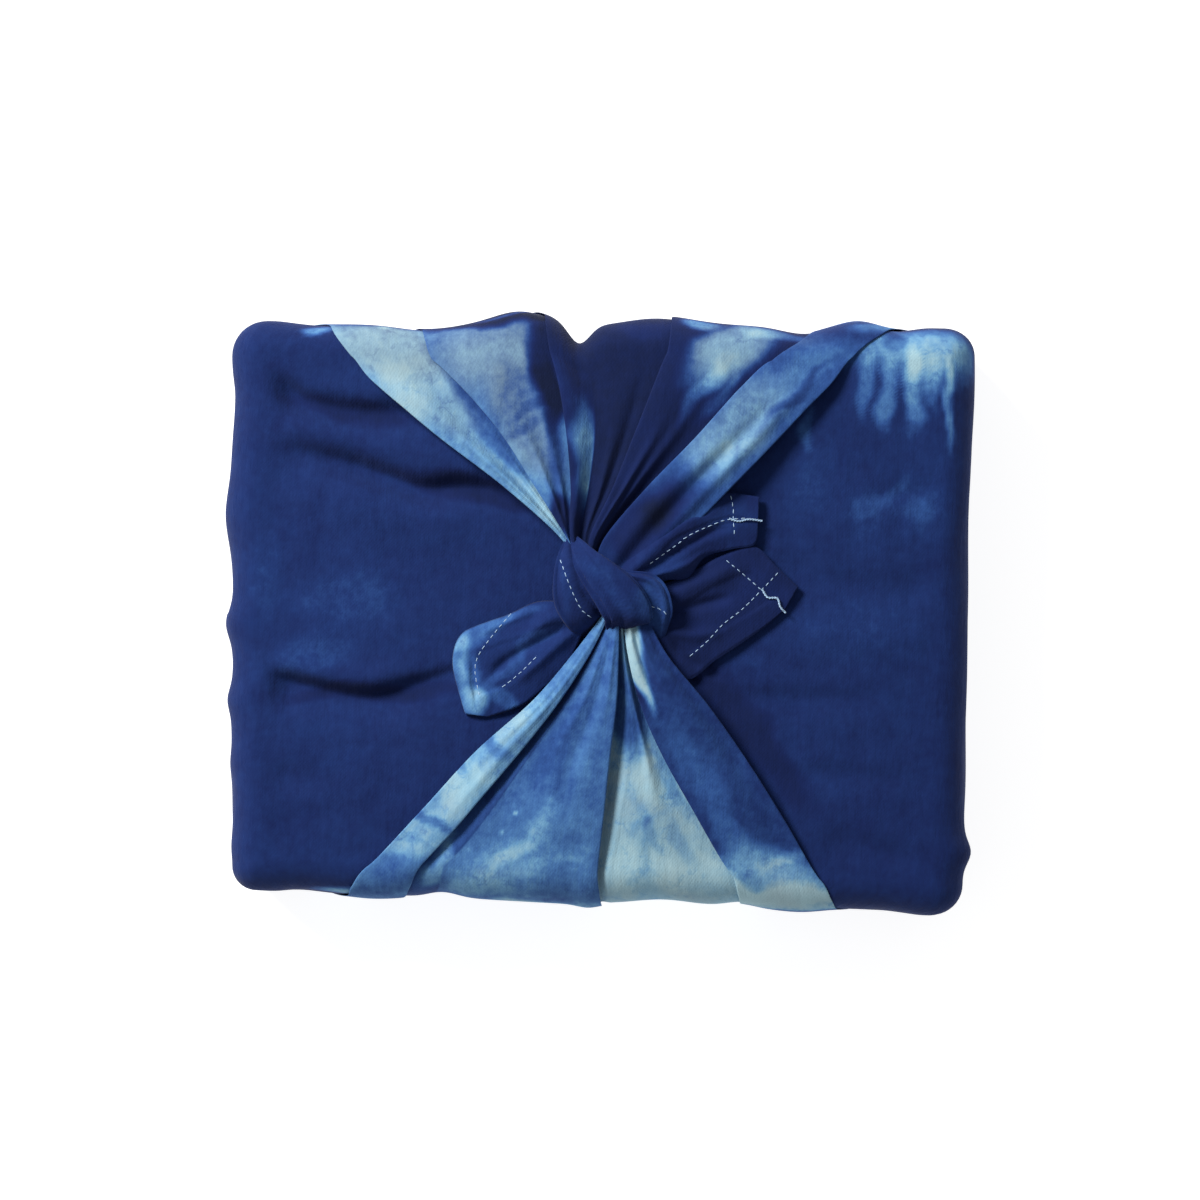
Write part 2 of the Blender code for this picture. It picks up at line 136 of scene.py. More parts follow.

# %% [markdown]
# ## Dye
# The square was bunched and bound before it went into the indigo vat. Where the binding kept the dye
# out the cotton stayed pale, in soft clouds with dark veins. Each table row below is one soft cloud or
# streak: positive strength is paler, negative is deeper blue. Some negative rows are painted shade,
# laid in creases and beside folds where shadow falls. The amount is stored on each vertex, and the
# material turns it into colour.

# %% Clouds of dye
DEEPEST_PAINTED_SHADE = -0.2  # levels below 0 are painted shade for creases and recesses, darker than the deepest dye
PALEST = 1.15
CLOUD_CORE = 0.45  # a cloud keeps its full strength this far out, as a share of its half length
CLOUD_BENDS = (
    # seeds for x and y, size of the swells and how far they bend a cloud's edge, mm
    (11, 13, 16.0, 2.6),
    (12, 14, 6.0, 0.35),
)


def dye_and_shade_level(x, y, base, patches, part=None):
    """How pale the cloth is at each place: 0 is deep indigo, 1 nearly undyed, and below 0 painted shade."""
    bent_x, bent_y = x, y
    for seed_x, seed_y, size, reach in CLOUD_BENDS:
        bent_x = bent_x + reach * swells(x, y, size, seed_x)
        bent_y = bent_y + reach * swells(x, y, size, seed_y)
    level = np.array(base, float) * np.ones(np.shape(x))
    for where, middle_x, middle_y, long_half, short_half, heading, strength in patches:
        turn = math.radians(heading)
        off_x, off_y = bent_x - middle_x, bent_y - middle_y
        along = (off_x * math.cos(turn) + off_y * math.sin(turn)) / long_half
        across = (off_y * math.cos(turn) - off_x * math.sin(turn)) / short_half
        cloud = 1.0 - ease(np.hypot(along, across) - CLOUD_CORE)
        if part is not None:
            cloud = cloud * (part == where)
        level = level + strength * cloud
    return np.clip(level, DEEPEST_PAINTED_SHADE, PALEST)


test_row = dye_and_shade_level(np.array([0.0, 30.0]), np.zeros(2), 0.1, ((0, 0, 0, 10, 10, 0, 0.6),))
print("inside a cloud and beside it:", test_row.round(2).tolist())

# %% [markdown]
# ## Indigo-dyed cotton
# The real cloth is a plain-weave cotton of about 20 threads to the centimetre. Indigo sits on the
# outside of the yarn, so the colour is deep but matt, with almost no gloss: roughness near 0.9, the
# usual IOR of 1.5 with the highlight turned low, and a faint sheen from the loose fibres. Its patterns
# could be painted by hand. Noise sized from the real cloth needs no images and covers every fold.

# %% Helpers for materials
def linear(hex_colour):
    """sRGB hex to the linear colour that Blender shades with."""
    values = [int(hex_colour[place : place + 2], 16) / 255.0 for place in (1, 3, 5)]
    return [v / 12.92 if v <= 0.04045 else ((v + 0.055) / 1.055) ** 2.4 for v in values] + [1.0]


def new_material(name):
    """A fresh material with its node tree and its Principled shader."""
    material = bpy.data.materials.new(name)
    material.use_nodes = True
    return material, material.node_tree, material.node_tree.nodes["Principled BSDF"]


def add_node(tree, kind, inputs=None, **settings):
    """Add one node with its settings. An input is a value, a socket, or a node's first output."""
    node = tree.nodes.new(kind)
    for name, value in settings.items():
        setattr(node, name, value)
    for name, value in (inputs or {}).items():
        if isinstance(value, bpy.types.Node):
            value = value.outputs[0]
        if isinstance(value, bpy.types.NodeSocket):
            tree.links.new(value, node.inputs[name])
        else:
            node.inputs[name].default_value = value
    return node


SOFTLY = {"interpolation_type": "SMOOTHSTEP"}  # for a node that rises from one value to another
print("deep indigo, linear:", [round(value, 4) for value in linear("#112152")])

# %% Sizes of the patterns in the cotton
COTTON_PATTERNS = {
    # name: laid out on, size of one blotch in mm, detail, roughness, strength
    "clouds": ("piece", 29.41, 4.0, 0.6, 0.34),  # a handful of cloth took the dye unevenly
    "mottling": ("piece", 5.26, 6.0, 0.72, 0.5),  # ten threads or so
    "streaks": ("fibres", 4.35, 4.0, 0.65, 0.22),  # thick and thin places in the yarn
    "crinkle": ("fibres", 6.67, 5.0, 0.7, 1.5),  # relief left by wetting and drying
    "dullness": ("piece", 8.33, 3.0, 0.6, 0.12),
}
FIBRE_STRETCH = 1.0 / 0.28  # the yarn's patterns are this much longer than wide


def make_patterns(tree, places):
    """Random patterns around zero, one for each row of the table."""
    patterns = {}
    for name, (place, size, detail, roughness, strength) in COTTON_PATTERNS.items():
        inputs = {"Scale": 1.0 / (size * MM), "Detail": detail, "Roughness": roughness}
        noise = add_node(tree, "ShaderNodeTexNoise", {"Vector": places[place], **inputs})
        middled = add_node(tree, "ShaderNodeMath", {0: noise, 1: 0.5}, operation="SUBTRACT")
        patterns[name] = add_node(tree, "ShaderNodeMath", {0: middled, 1: strength}, operation="MULTIPLY")
    return patterns


print("patterns in the cotton:", ", ".join(COTTON_PATTERNS))

# %% [markdown]
# ## Mottling and veins
# Cloth that took all the dye is even, half-dyed cloth is mottled, and the palest is fairly even
# again. Inside the pale clouds, creases took up dye and left fine dark veins. Veins could be painted
# as an image, but the edges of a bent cell pattern give the same broken net at any size.

# %% Mottling
def add_mottling(tree, level, patterns):
    """The stored dye level with its clouds, mottling and streaks."""
    inputs = {"Value": level, "From Min": 0.0, "From Max": 0.45, "To Min": 0.32}
    half_dyed = add_node(tree, "ShaderNodeMapRange", inputs)
    palest = add_node(
        tree, "ShaderNodeMapRange", {"Value": level, "From Min": 0.65, "From Max": 0.9}, **SOFTLY
    )
    even = add_node(tree, "ShaderNodeMath", {0: palest, 1: -0.5, 2: 1.0}, operation="MULTIPLY_ADD")
    mottled = patterns["clouds"]
    for name in ("mottling", "streaks"):
        mottled = add_node(tree, "ShaderNodeMath", {0: mottled, 1: patterns[name]}, operation="ADD")
    for limit in (half_dyed, even):
        mottled = add_node(tree, "ShaderNodeMath", {0: mottled, 1: limit}, operation="MULTIPLY")
    return add_node(tree, "ShaderNodeMath", {0: level, 1: mottled}, operation="ADD")

# %% Veins
VEINS = (
    # mm across one cell of the net, width of a vein as a share of it, mm across a patch with veins
    (38.46, 0.09, 13.89),
    (14.29, 0.11, 8.62),
)
VEIN_DEPTH = 0.12
VEIN_BEND_SIZE = 22.22  # mm
VEIN_BEND = 0.045  # metres that the bends move a vein at most


def add_veins(tree, level, mottled, space):
    """Darken the mottled level along the veins, where the stored level is pale."""
    inputs = {"Vector": space, "Scale": 1.0 / (VEIN_BEND_SIZE * MM), "Detail": 5.0, "Roughness": 0.65}
    bend = add_node(tree, "ShaderNodeTexNoise", inputs).outputs["Color"]
    inputs = {0: bend, 1: (VEIN_BEND, VEIN_BEND, VEIN_BEND), 2: space}
    bent = add_node(tree, "ShaderNodeVectorMath", inputs, operation="MULTIPLY_ADD")
    pale = add_node(
        tree, "ShaderNodeMapRange", {"Value": level, "From Min": 0.42, "From Max": 0.75}, **SOFTLY
    )
    depth = add_node(tree, "ShaderNodeMath", {0: pale, 1: VEIN_DEPTH}, operation="MULTIPLY")
    for cell, width, patch in VEINS:
        inputs = {"Vector": bent, "Scale": 1.0 / (cell * MM)}
        edge = add_node(tree, "ShaderNodeTexVoronoi", inputs, feature="DISTANCE_TO_EDGE")
        inputs = {"Value": edge, "From Min": 0.0, "From Max": width, "To Min": 1.0, "To Max": 0.0}
        vein = add_node(tree, "ShaderNodeMapRange", inputs, **SOFTLY)
        inputs = {"Vector": space, "Scale": 1.0 / (patch * MM), "Detail": 2.0, "Roughness": 0.5}
        patches = add_node(tree, "ShaderNodeTexNoise", inputs)
        inputs = {"Value": patches, "From Min": 0.48, "From Max": 0.62}
        some = add_node(tree, "ShaderNodeMapRange", inputs, **SOFTLY)
        drop = add_node(tree, "ShaderNodeMath", {0: vein, 1: some}, operation="MULTIPLY")
        drop = add_node(tree, "ShaderNodeMath", {0: drop, 1: depth}, operation="MULTIPLY")
        mottled = add_node(tree, "ShaderNodeMath", {0: mottled, 1: drop}, operation="SUBTRACT")
    return mottled


print("nets of veins:", len(VEINS))

# %% [markdown]
# ## Colours of indigo
# Indigo goes from near black through mid blue to a greenish pale blue as there is less of it. A colour
# ramp reads those steps, measured from deep to pale, after a first step darker than any dye for painted
# shade. Two greys are laid over it: the palest cotton keeps some of its unbleached beige, and where the
# binding rubbed the blue washed out.

# %% Colours of the dye
DYE_AND_SHADE_COLOURS = (
    # level, colour: from painted shade below the deepest dye, to the palest
    (DEEPEST_PAINTED_SHADE, "#0a1533"),
    (0.0, "#112152"),
    (0.12, "#182f65"),
    (0.3, "#2c4f8b"),
    (0.5, "#4773a8"),
    (0.68, "#6798be"),
    (0.84, "#87b0c5"),
    (1.0, "#a0c2cd"),
)
UNBLEACHED = "#8f9ba0"


def dye_and_shade_colour(tree, level):
    """Turn a dye level, or painted shade below the deepest dye, into its colour."""
    reach = 1.0 - DEEPEST_PAINTED_SHADE
    inputs = {0: level, 1: 1.0 / reach, 2: -DEEPEST_PAINTED_SHADE / reach}
    place = add_node(tree, "ShaderNodeMath", inputs, operation="MULTIPLY_ADD")
    ramp = add_node(tree, "ShaderNodeValToRGB", {"Fac": place})
    stops = ramp.color_ramp.elements
    while len(stops) < len(DYE_AND_SHADE_COLOURS):
        stops.new(0.5)
    for stop, (stop_level, colour) in zip(stops, DYE_AND_SHADE_COLOURS):
        stop.position, stop.color = (stop_level - DEEPEST_PAINTED_SHADE) / reach, linear(colour)
    return ramp


def add_unbleached(tree, colour, level, clouds):
    """Lay the unbleached tint over patches of the palest cotton."""
    pale = add_node(
        tree, "ShaderNodeMapRange", {"Value": level, "From Min": 0.5, "From Max": 0.85}, **SOFTLY
    )
    inputs = {"Value": clouds, "From Min": -0.04, "From Max": 0.1}
    patches = add_node(tree, "ShaderNodeMapRange", inputs, **SOFTLY)
    share = add_node(tree, "ShaderNodeMath", {0: pale, 1: patches}, operation="MULTIPLY")
    share = add_node(tree, "ShaderNodeMath", {0: share, 1: 0.4}, operation="MULTIPLY")
    inputs = {"Factor": share, "A": colour, "B": linear(UNBLEACHED)}
    return add_node(tree, "ShaderNodeMix", inputs, data_type="RGBA").outputs["Result"]


def add_rubbed_grey(tree, colour, mottled):
    """Wash the blue out to grey by the amount stored on the cloth."""
    stored = add_node(tree, "ShaderNodeAttribute", attribute_name="grey").outputs["Fac"]
    dyed = add_node(
        tree, "ShaderNodeMapRange", {"Value": mottled, "From Min": 0.15, "From Max": 0.5}, **SOFTLY
    )
    rubbed = add_node(tree, "ShaderNodeMath", {0: stored, 1: dyed}, operation="MULTIPLY")
    inputs = {"Color": colour}
    for name, change, start in (("Hue", -0.03, 0.5), ("Saturation", -0.5, 1.0), ("Value", -0.34, 1.0)):
        step = {0: rubbed, 1: change, 2: start}
        inputs[name] = add_node(tree, "ShaderNodeMath", step, operation="MULTIPLY_ADD")
    return add_node(tree, "ShaderNodeHueSaturation", inputs)


print("steps of dye:", len(DYE_AND_SHADE_COLOURS))

# %% [markdown]
# ## Weave and finish
# In a plain weave, two sets of threads at right angles go over and under each other, which two sine
# waves multiplied draw well. Bump alone is enough for threads and crinkles as fine as these. Every
# fold that can be seen as a shape is in the mesh.

# %% The dyed cotton material
THREAD_PITCH = 0.0017  # metres; the real 0.5 mm pitch is too fine to show, so it is drawn coarser
WEAVE_SHADE = 0.018
WEAVE_RELIEF = 0.05  # beside the crinkles, the weave stands this high
RELIEF = 0.0011  # metres
FINISH = {"IOR": 1.5, "Specular IOR Level": 0.15, "Sheen Weight": 0.04, "Sheen Roughness": 0.5}
ROUGHNESS = 0.9


def make_weave(tree, cloth):
    """The height of plain weave on the flat cloth, from -1 to 1."""
    split = add_node(tree, "ShaderNodeSeparateXYZ", {"Vector": cloth})
    waves = []
    for axis in "XY":
        inputs = {0: split.outputs[axis], 1: math.tau / THREAD_PITCH}
        turn = add_node(tree, "ShaderNodeMath", inputs, operation="MULTIPLY")
        waves.append(add_node(tree, "ShaderNodeMath", {0: turn}, operation="SINE"))
    return add_node(tree, "ShaderNodeMath", {0: waves[0], 1: waves[1]}, operation="MULTIPLY")


def make_dyed_cotton():
    """The one material of all the cloth, driven by what each vertex stores."""
    material, tree, shader = new_material("dyed_cotton")
    level = add_node(tree, "ShaderNodeAttribute", attribute_name="pale").outputs["Fac"]
    cloth = add_node(tree, "ShaderNodeAttribute", attribute_name="cloth").outputs["Vector"]
    space = add_node(tree, "ShaderNodeTexCoord").outputs["Object"]
    inputs = {"Vector": cloth, "Scale": (1.0, 1.0 / FIBRE_STRETCH, 1.0)}
    fibres = add_node(tree, "ShaderNodeMapping", inputs, vector_type="POINT")
    patterns = make_patterns(tree, {"piece": space, "fibres": fibres})
    mottled = add_veins(tree, level, add_mottling(tree, level, patterns), space)
    tinted = add_unbleached(tree, dye_and_shade_colour(tree, mottled), level, patterns["clouds"])
    tinted = add_rubbed_grey(tree, tinted, mottled)

    weave = make_weave(tree, cloth)
    shade = add_node(tree, "ShaderNodeMath", {0: weave, 1: WEAVE_SHADE, 2: 1.0}, operation="MULTIPLY_ADD")
    coloured = add_node(tree, "ShaderNodeVectorMath", {0: tinted, "Scale": shade}, operation="SCALE")
    inputs = {0: weave, 1: WEAVE_RELIEF, 2: patterns["crinkle"]}
    height = add_node(tree, "ShaderNodeMath", inputs, operation="MULTIPLY_ADD")
    bump = add_node(tree, "ShaderNodeBump", {"Height": height, "Strength": 0.5, "Distance": RELIEF})
    inputs = {0: patterns["dullness"], 1: ROUGHNESS}
    rough = add_node(tree, "ShaderNodeMath", inputs, operation="ADD")
    for name, node in (("Base Color", coloured), ("Roughness", rough), ("Normal", bump)):
        tree.links.new(node.outputs[0], shader.inputs[name])
    for name, value in FINISH.items():
        shader.inputs[name].default_value = value
    return material


dyed_cotton = make_dyed_cotton()
print("dyed cotton nodes:", len(dyed_cotton.node_tree.nodes))

# %% [markdown]
# ## From rows of points to cloth
# Every part is a grid: rows of points, each row joined to the next. The grid carries two things for
# the material: how pale each point is, and its place on the flat cloth, so the weave doesn't stretch.
# A plane with modifiers would be quicker to make, but only a plain mesh can turn under itself in laps.

# %% Pieces and tubes
def add_piece(name, points, faces, material):
    """Make a smooth-shaded object from points in mm on the tables' own x and y."""
    mesh = bpy.data.meshes.new(name)
    mesh.from_pydata(((np.array(points) - (*BASE_MIDDLE, 0.0)) * MM).tolist(), [], faces)
    mesh.shade_smooth()
    mesh.materials.append(material)
    piece = bpy.data.objects.new(name, mesh)
    bpy.context.scene.collection.objects.link(piece)
    return piece


def directions_along(middle):
    """For a line of points: its sideways and upward directions, and how far along it each point is."""
    along = np.gradient(middle, axis=0)
    along /= np.linalg.norm(along, axis=1, keepdims=True)
    across = np.cross(along, (0.0, 0.0, 1.0))
    across /= np.linalg.norm(across, axis=1, keepdims=True)
    distance = np.concatenate([[0.0], np.cumsum(np.linalg.norm(np.diff(middle, axis=0), axis=1))])
    return across, np.cross(across, along), distance


def tube_faces(first, rows, sides, clockwise=False):
    """Faces of a closed tube whose points start at this number, ring after ring."""
    faces = []
    for row in range(rows - 1):
        for corner in range(sides):
            a, b = first + sides * row + corner, first + sides * row + (corner + 1) % sides
            faces.append((a, a + sides, b + sides, b) if clockwise else (a, b, b + sides, a + sides))
    near_cap = range(first, first + sides)
    far_cap = range(first + sides * (rows - 1), first + sides * rows)
    caps = (near_cap, far_cap[::-1]) if clockwise else (near_cap[::-1], far_cap)
    return faces + [tuple(cap) for cap in caps]


print("faces of a six-sided tube of two rings:", len(tube_faces(0, 2, 6)))

# %% Cloth from a grid
def cloth_from_grid(name, points, level, place_on_cloth, round_rows=False, capped=False, grey=None):
    """Make a cloth object from points in mm, shaped (rows, columns, 3)."""
    rows, columns = points.shape[:2]
    number = np.arange(rows * columns).reshape(rows, columns)
    after = np.roll(number, -1, axis=1) if round_rows else number[:, 1:]
    here = number if round_rows else number[:, :-1]
    quads = np.stack([here[:-1], after[:-1], after[1:], here[1:]], axis=-1).reshape(-1, 4)
    faces = quads.tolist()
    if capped:
        faces += [number[0][::-1].tolist(), number[-1].tolist()]
    piece = add_piece(name, points.reshape(-1, 3), faces, dyed_cotton)
    mesh = piece.data
    pale = mesh.attributes.new("pale", "FLOAT", "POINT")
    pale.data.foreach_set("value", np.asarray(level, np.float32).ravel())
    worn = mesh.attributes.new("grey", "FLOAT", "POINT")
    if grey is not None:
        worn.data.foreach_set("value", np.asarray(grey, np.float32).ravel())
    cloth = mesh.attributes.new("cloth", "FLOAT_VECTOR", "POINT")
    place = np.zeros((rows * columns, 3), np.float32)
    place[:, :2] = np.asarray(place_on_cloth).reshape(-1, 2) * MM
    cloth.data.foreach_set("vector", place.ravel())
    area = sum(face.area for face in mesh.polygons)
    print(f"{name}: {len(mesh.vertices)} points, {len(mesh.polygons)} faces, {area:.4f} m2")
    return piece

# %% [markdown]
# ## The parcel's skin
# The cloth over the parcel has straight sides that bulge a little, a rounded rim, and a top that is
# slightly crowned. Its outline is uneven, with soft bulges where folds inside the wrap push out.

# %% Sizes of the wrapped parcel
PARCEL_HEIGHT = 70.0
CROWN = 4.0
RIM_RADIUS = 14.0
BASE_RADIUS = 6.0
SIDE_BULGE = 2.5
SIDE_WAVE_DEPTH = 45.0
LEAST_CORNER = 3.0  # a corner of the outline never gets sharper than this
WAVE_FREE_END = 0.08  # share of a side next to each corner where the waves die away
FAN_SEAT = 2.0  # the skin is this much lower under the fans, which brings them level with the ends

CORNERS = (
    # side that follows, x, y, radius
    ("left", -178, 142, 18),
    ("front", -178, -134, 13),
    ("right", 175.5, -146, 16),
    ("back", 181, 138.5, 14),
)
OUTWARD = {"left": (-1, 0), "right": (1, 0), "back": (0, 1), "front": (0, -1)}
STEPS_ALONG = {"left": 140, "right": 140, "back": 196, "front": 196}
ARC_STEPS = 10
WAVES = (
    # side, place along the side, how far out, half width
    ("left", 105, -1.5, 20),
    ("left", 48, 3, 16),
    ("left", -5, 3, 9),
    ("left", -41, 2, 7),
    ("left", -72, 1, 8),
    ("left", -119, 2, 10),
    ("right", -117, 4.5, 9),
    ("right", 30, -1, 30),
    ("back", -84, -3, 20),
    ("back", -38, 6.5, 18),
    ("back", -10, -9, 7),
    ("back", 28, 4, 22),
    ("back", 98, -3, 14),
    ("back", 126, 3, 12),
    ("front", -118, 2, 20),
    ("front", -76, -2.5, 10),
    ("front", -6, 1.5, 7),
    ("front", 30, -2.5, 18),
    ("front", 68, -2, 10),
    ("front", 98, 1.5, 14),
)
print("waves in the outline:", len(WAVES))

# %% Outline and sides
def wave_out(side, along, inset):
    """How far the cloth stands out at this place along a side, this far in from the outline."""
    total = sum(out * bell(along - place, half) for name, place, out, half in WAVES if name == side)
    if side in ("back", "front"):
        total = total - FAN_SEAT * ease((164.0 - np.abs(along)) / 16.0)
    return total * (1.0 - ease(np.asarray(inset) / SIDE_WAVE_DEPTH))


def side_inset(height):
    """How far the side lies in from the widest outline at this height."""
    inset = SIDE_BULGE * (1.0 - math.sin(math.pi * height / PARCEL_HEIGHT))
    if height < BASE_RADIUS:
        inset += BASE_RADIUS - math.sqrt(BASE_RADIUS**2 - (BASE_RADIUS - height) ** 2)
    over = height - (PARCEL_HEIGHT - RIM_RADIUS)
    if over > 0.0:
        inset += RIM_RADIUS - math.sqrt(max(RIM_RADIUS**2 - over**2, 0.0))
    return inset


def outline(inset):
    """Points round the parcel, anticlockwise from the back left corner."""
    arcs = []
    for _, x, y, radius in CORNERS:
        inner = max(radius - inset, LEAST_CORNER)
        centre = (x - math.copysign(inset + inner, x), y - math.copysign(inset + inner, y))
        start = math.degrees(math.atan2(y, x)) // 90 * 90
        turns = np.radians(start + np.linspace(0.0, 90.0, ARC_STEPS + 1))
        arcs.append(np.stack([centre[0] + inner * np.cos(turns), centre[1] + inner * np.sin(turns)], 1))
    parts = []
    for index, (side, *_) in enumerate(CORNERS):
        first, second = arcs[index][-1], arcs[(index + 1) % 4][0]
        share = np.linspace(0.0, 1.0, STEPS_ALONG[side] + 1)[1:-1, None]
        line = mix(first, second, share)
        out_x, out_y = OUTWARD[side]
        ends = ease(np.minimum(share, 1.0 - share)[:, 0] / WAVE_FREE_END)
        out = ends * wave_out(side, line[:, 1] if out_x else line[:, 0], inset)
        parts += [arcs[index], line + out[:, None] * np.array([[out_x, out_y]])]
    return np.concatenate(parts)


print("outline, mm:", np.ptp(outline(0.0), axis=0).round(1).tolist())

# %% [markdown]
# ## Creases
# A crease is a soft trough or ridge along a line. Its two flanks have their own widths, because a
# pulled cloth breaks sharply on one side and lies down slowly on the other.

# %% Creases of the two smooth ends
PANEL_CREASES = (
    # height, half width on the left of the line, half width on its right, x and y of its points
    (-6.5, 5.5, 8, ((-166, 117), (-150, 107), (-139, 101), (-115, 96.5), (-94, 96), (-78, 92))),
    (1.8, 7, 8, ((-150, 94), (-139, 90), (-107, 83), (-75, 75), (-56, 70))),
    (-7.5, 5, 7.5, ((-152, 79), (-123, 72.5), (-104, 66), (-85, 59.5), (-66, 61), (-46, 58), (-26, 49))),
    (2.6, 12, 14, ((-130, 56), (-105, 49), (-80, 46), (-56, 45))),
    (-6.5, 4, 11, ((-180, -12), (-172, -18), (-163, -28), (-139, -35), (-110, -40), (-88, -34), (-66, -27))),
    (1.8, 6, 5, ((-164, -18), (-140, -26), (-112, -30), (-90, -25))),
    (1.6, 4, 4, ((-181, -52), (-170, -42), (-158, -34))),
    (1.4, 4, 5, ((-180, 12), (-170, 17), (-156, 21))),
    (-1.2, 5, 6, ((-181, 62), (-168, 66), (-150, 64))),
    (-1.4, 6, 9, ((-181, -73), (-160, -76), (-130, -78))),
    (-1, 7, 9, ((-176, -100), (-150, -100), (-118, -92))),
    (-1.8, 8, 9, ((74, 28), (100, 19), (126, 13), (174, 10))),
    (-1.6, 5, 8, ((64, -39), (100, -41), (136, -40))),
    (-1.4, 5, 8, ((90, -75), (116, -77), (146, -80))),
    (-1.6, 6, 8, ((108, -106), (130, -112), (160, -122))),
    (1.3, 3, 4, ((160, 1), (169, 5), (178, 6))),
    (1.2, 9, 9, ((90, -8), (130, -12), (168, -10))),
    (-1, 4, 5, ((170, 62), (150, 58), (126, 56))),
    (-1.5, 2, 2.5, ((38, -20), (41, -26), (46, -34))),
    (1.2, 2, 2.5, ((42, -18), (46, -25), (52, -33))),
    (-1.2, 2, 2.5, ((47, -17), (51, -24), (58, -31))),
)

CREASE_OVERRUN = 0.12  # a crease fades out this share of its length past its ends
CREASE_FADE = 0.4


def crease_height(x, y, creases):
    """Sum of the troughs and ridges at each place."""
    total = np.zeros(np.shape(x))
    for height, left_half, right_half, points in creases:
        points = curve_at(points, np.linspace(0, len(points) - 1, 4 * len(points)))
        nearest = np.full(np.shape(x), np.inf)
        side = np.zeros(np.shape(x))
        place = np.zeros(np.shape(x))
        for index, (start, end) in enumerate(zip(points, points[1:])):
            run = end - start
            share = ((x - start[0]) * run[0] + (y - start[1]) * run[1]) / (run @ run)
            share = np.clip(share, 0.0, 1.0)
            off_x, off_y = x - start[0] - share * run[0], y - start[1] - share * run[1]
            distance = np.hypot(off_x, off_y)
            closer = distance < nearest
            nearest = np.where(closer, distance, nearest)
            side = np.where(closer, run[0] * off_y - run[1] * off_x, side)
            place = np.where(closer, (index + share) / (len(points) - 1), place)
        half = np.where(side > 0.0, left_half, right_half)
        fade = ease((place + CREASE_OVERRUN) / CREASE_FADE)
        fade = fade * ease((1.0 + CREASE_OVERRUN - place) / CREASE_FADE)
        total = total + height * fade * bell(nearest, half)
    return total


print("creases in the smooth ends:", len(PANEL_CREASES))

# %% Height of the parcel's top
DOME_HALF_LENGTH = 178.0
DOME_HALF_WIDTH = 142.0
DOME_EDGE = 30.0  # the crown is reached this far in from the rim
INLAND = 14.0  # creases are full this far in from the rim
TOP_UNEVENNESS = ((0.35, 22.0, 31), (0.14, 8.0, 32))  # rise and size in mm, seed


def dome_height(x, y, inset):
    """Height of the crowned top without its creases."""
    dome = (1.0 - (x / DOME_HALF_LENGTH) ** 2) * (1.0 - (y / DOME_HALF_WIDTH) ** 2)
    return PARCEL_HEIGHT + ease((inset - RIM_RADIUS) / DOME_EDGE) * CROWN * np.maximum(dome, 0.0)


def top_height(x, y, inset):
    """Height of the top with creases and the slight unevenness of cloth over paper."""
    inland = ease((inset - RIM_RADIUS - SIDE_BULGE) / INLAND)
    uneven = sum(rise * swells(x, y, size, seed) for rise, size, seed in TOP_UNEVENNESS)
    return dome_height(x, y, inset) + inland * (crease_height(x, y, PANEL_CREASES) + uneven)


print("height of the middle, mm:", round(float(dome_height(0.0, 0.0, 100.0)), 1))

# %% [markdown]
# ## The two smooth ends
# One closed body serves for everything that lies flat against the parcel: base, sides, and the two
# ends of the cloth that were laid over the top first. It rests flat on the table. The real cloth is
# open underneath; a closed body is simpler and looks the same from every side that shows.

# %% Wrapped body
PANEL_DYE_AND_SHADE = (
    # part, x, y, half length, half width, heading, strength
    (0, 161, 128, 28, 17, 0, 0.66),
    (0, 124, 131, 14, 17, 90, 0.22),
    (0, 137, 104, 17, 4.2, 86, 0.42),
    (0, 150, 110, 19, 4.6, 88, 0.5),
    (0, 168, 99, 20, 3.6, 92, 0.5),
    (0, 159, 112, 14, 3.5, 84, 0.25),
    (0, 127, 112, 18, 4, 86, 0.3),
    (0, 98, 89, 13, 2.8, 88, 0.22),
    (0, 144, 135, 9, 5, 60, -0.25),
    (0, 129, 52, 11, 6, 25, 0.09),
    (0, 152, 50, 8, 6, 10, 0.09),
    (0, 142, 62, 9, 3, 35, 0.08),
    (0, 140, 48, 30, 17, 0, 0.08),
    (0, 126, -8, 36, 16, 5, 0.05),
    (0, 70, -22, 9, 5, 10, 0.06),
    (0, 100, 62, 22, 10, 70, 0.05),
    (0, -120, 7, 24, 12, 10, 0.08),
    (0, -139, -19, 26, 10, 20, 0.08),
    (0, -160, 20, 10, 20, 0, 0.05),
    # painted shade: the next three rows darken the three deep creases on the left end
    (0, -60, 60, 34, 5, -12, -0.13),
    (0, -118, 97, 30, 4.5, -8, -0.12),
    (0, -108, -38, 40, 4, 4, -0.12),
    # painted shade right of the knot
    (0, 44, -3, 15, 13, 0, -0.28),
    # painted shadow beside the lower fan's right edge
    (0, 72, -56, 44, 9, -53, -0.12),
    # painted shade: the lower right of this end is a little darker
    (0, 140, -110, 40, 30, 0, -0.03),
    (0, -142, 141, 9, 4, 0, 0.5),
    (0, -130, -142, 17, 5.5, 0, 0.6),
    (0, 60, -160, 60, 14, 0, 0.5),
    (0, -60, 165, 50, 18, 0, 0.4),
)
BODY_GROUND = 0.055  # dye level of the cloth between the clouds
BASE_HEIGHTS = (0.0, 0.6, 1.8, 3.6, BASE_RADIUS)
SIDE_HEIGHTS = np.arange(9.0, 56.0, 3.1)
RIM_ANGLES = range(0, 90, 8)
TOP_INSETS = np.arange(RIM_RADIUS + SIDE_BULGE, 132.0, 1.6)
GIRTH_RADIUS = 160.0  # turns the heading round the parcel into a length, for the swells of the sides
SIDE_SWELL = 0.5
SWELL_SIZE = 24.0


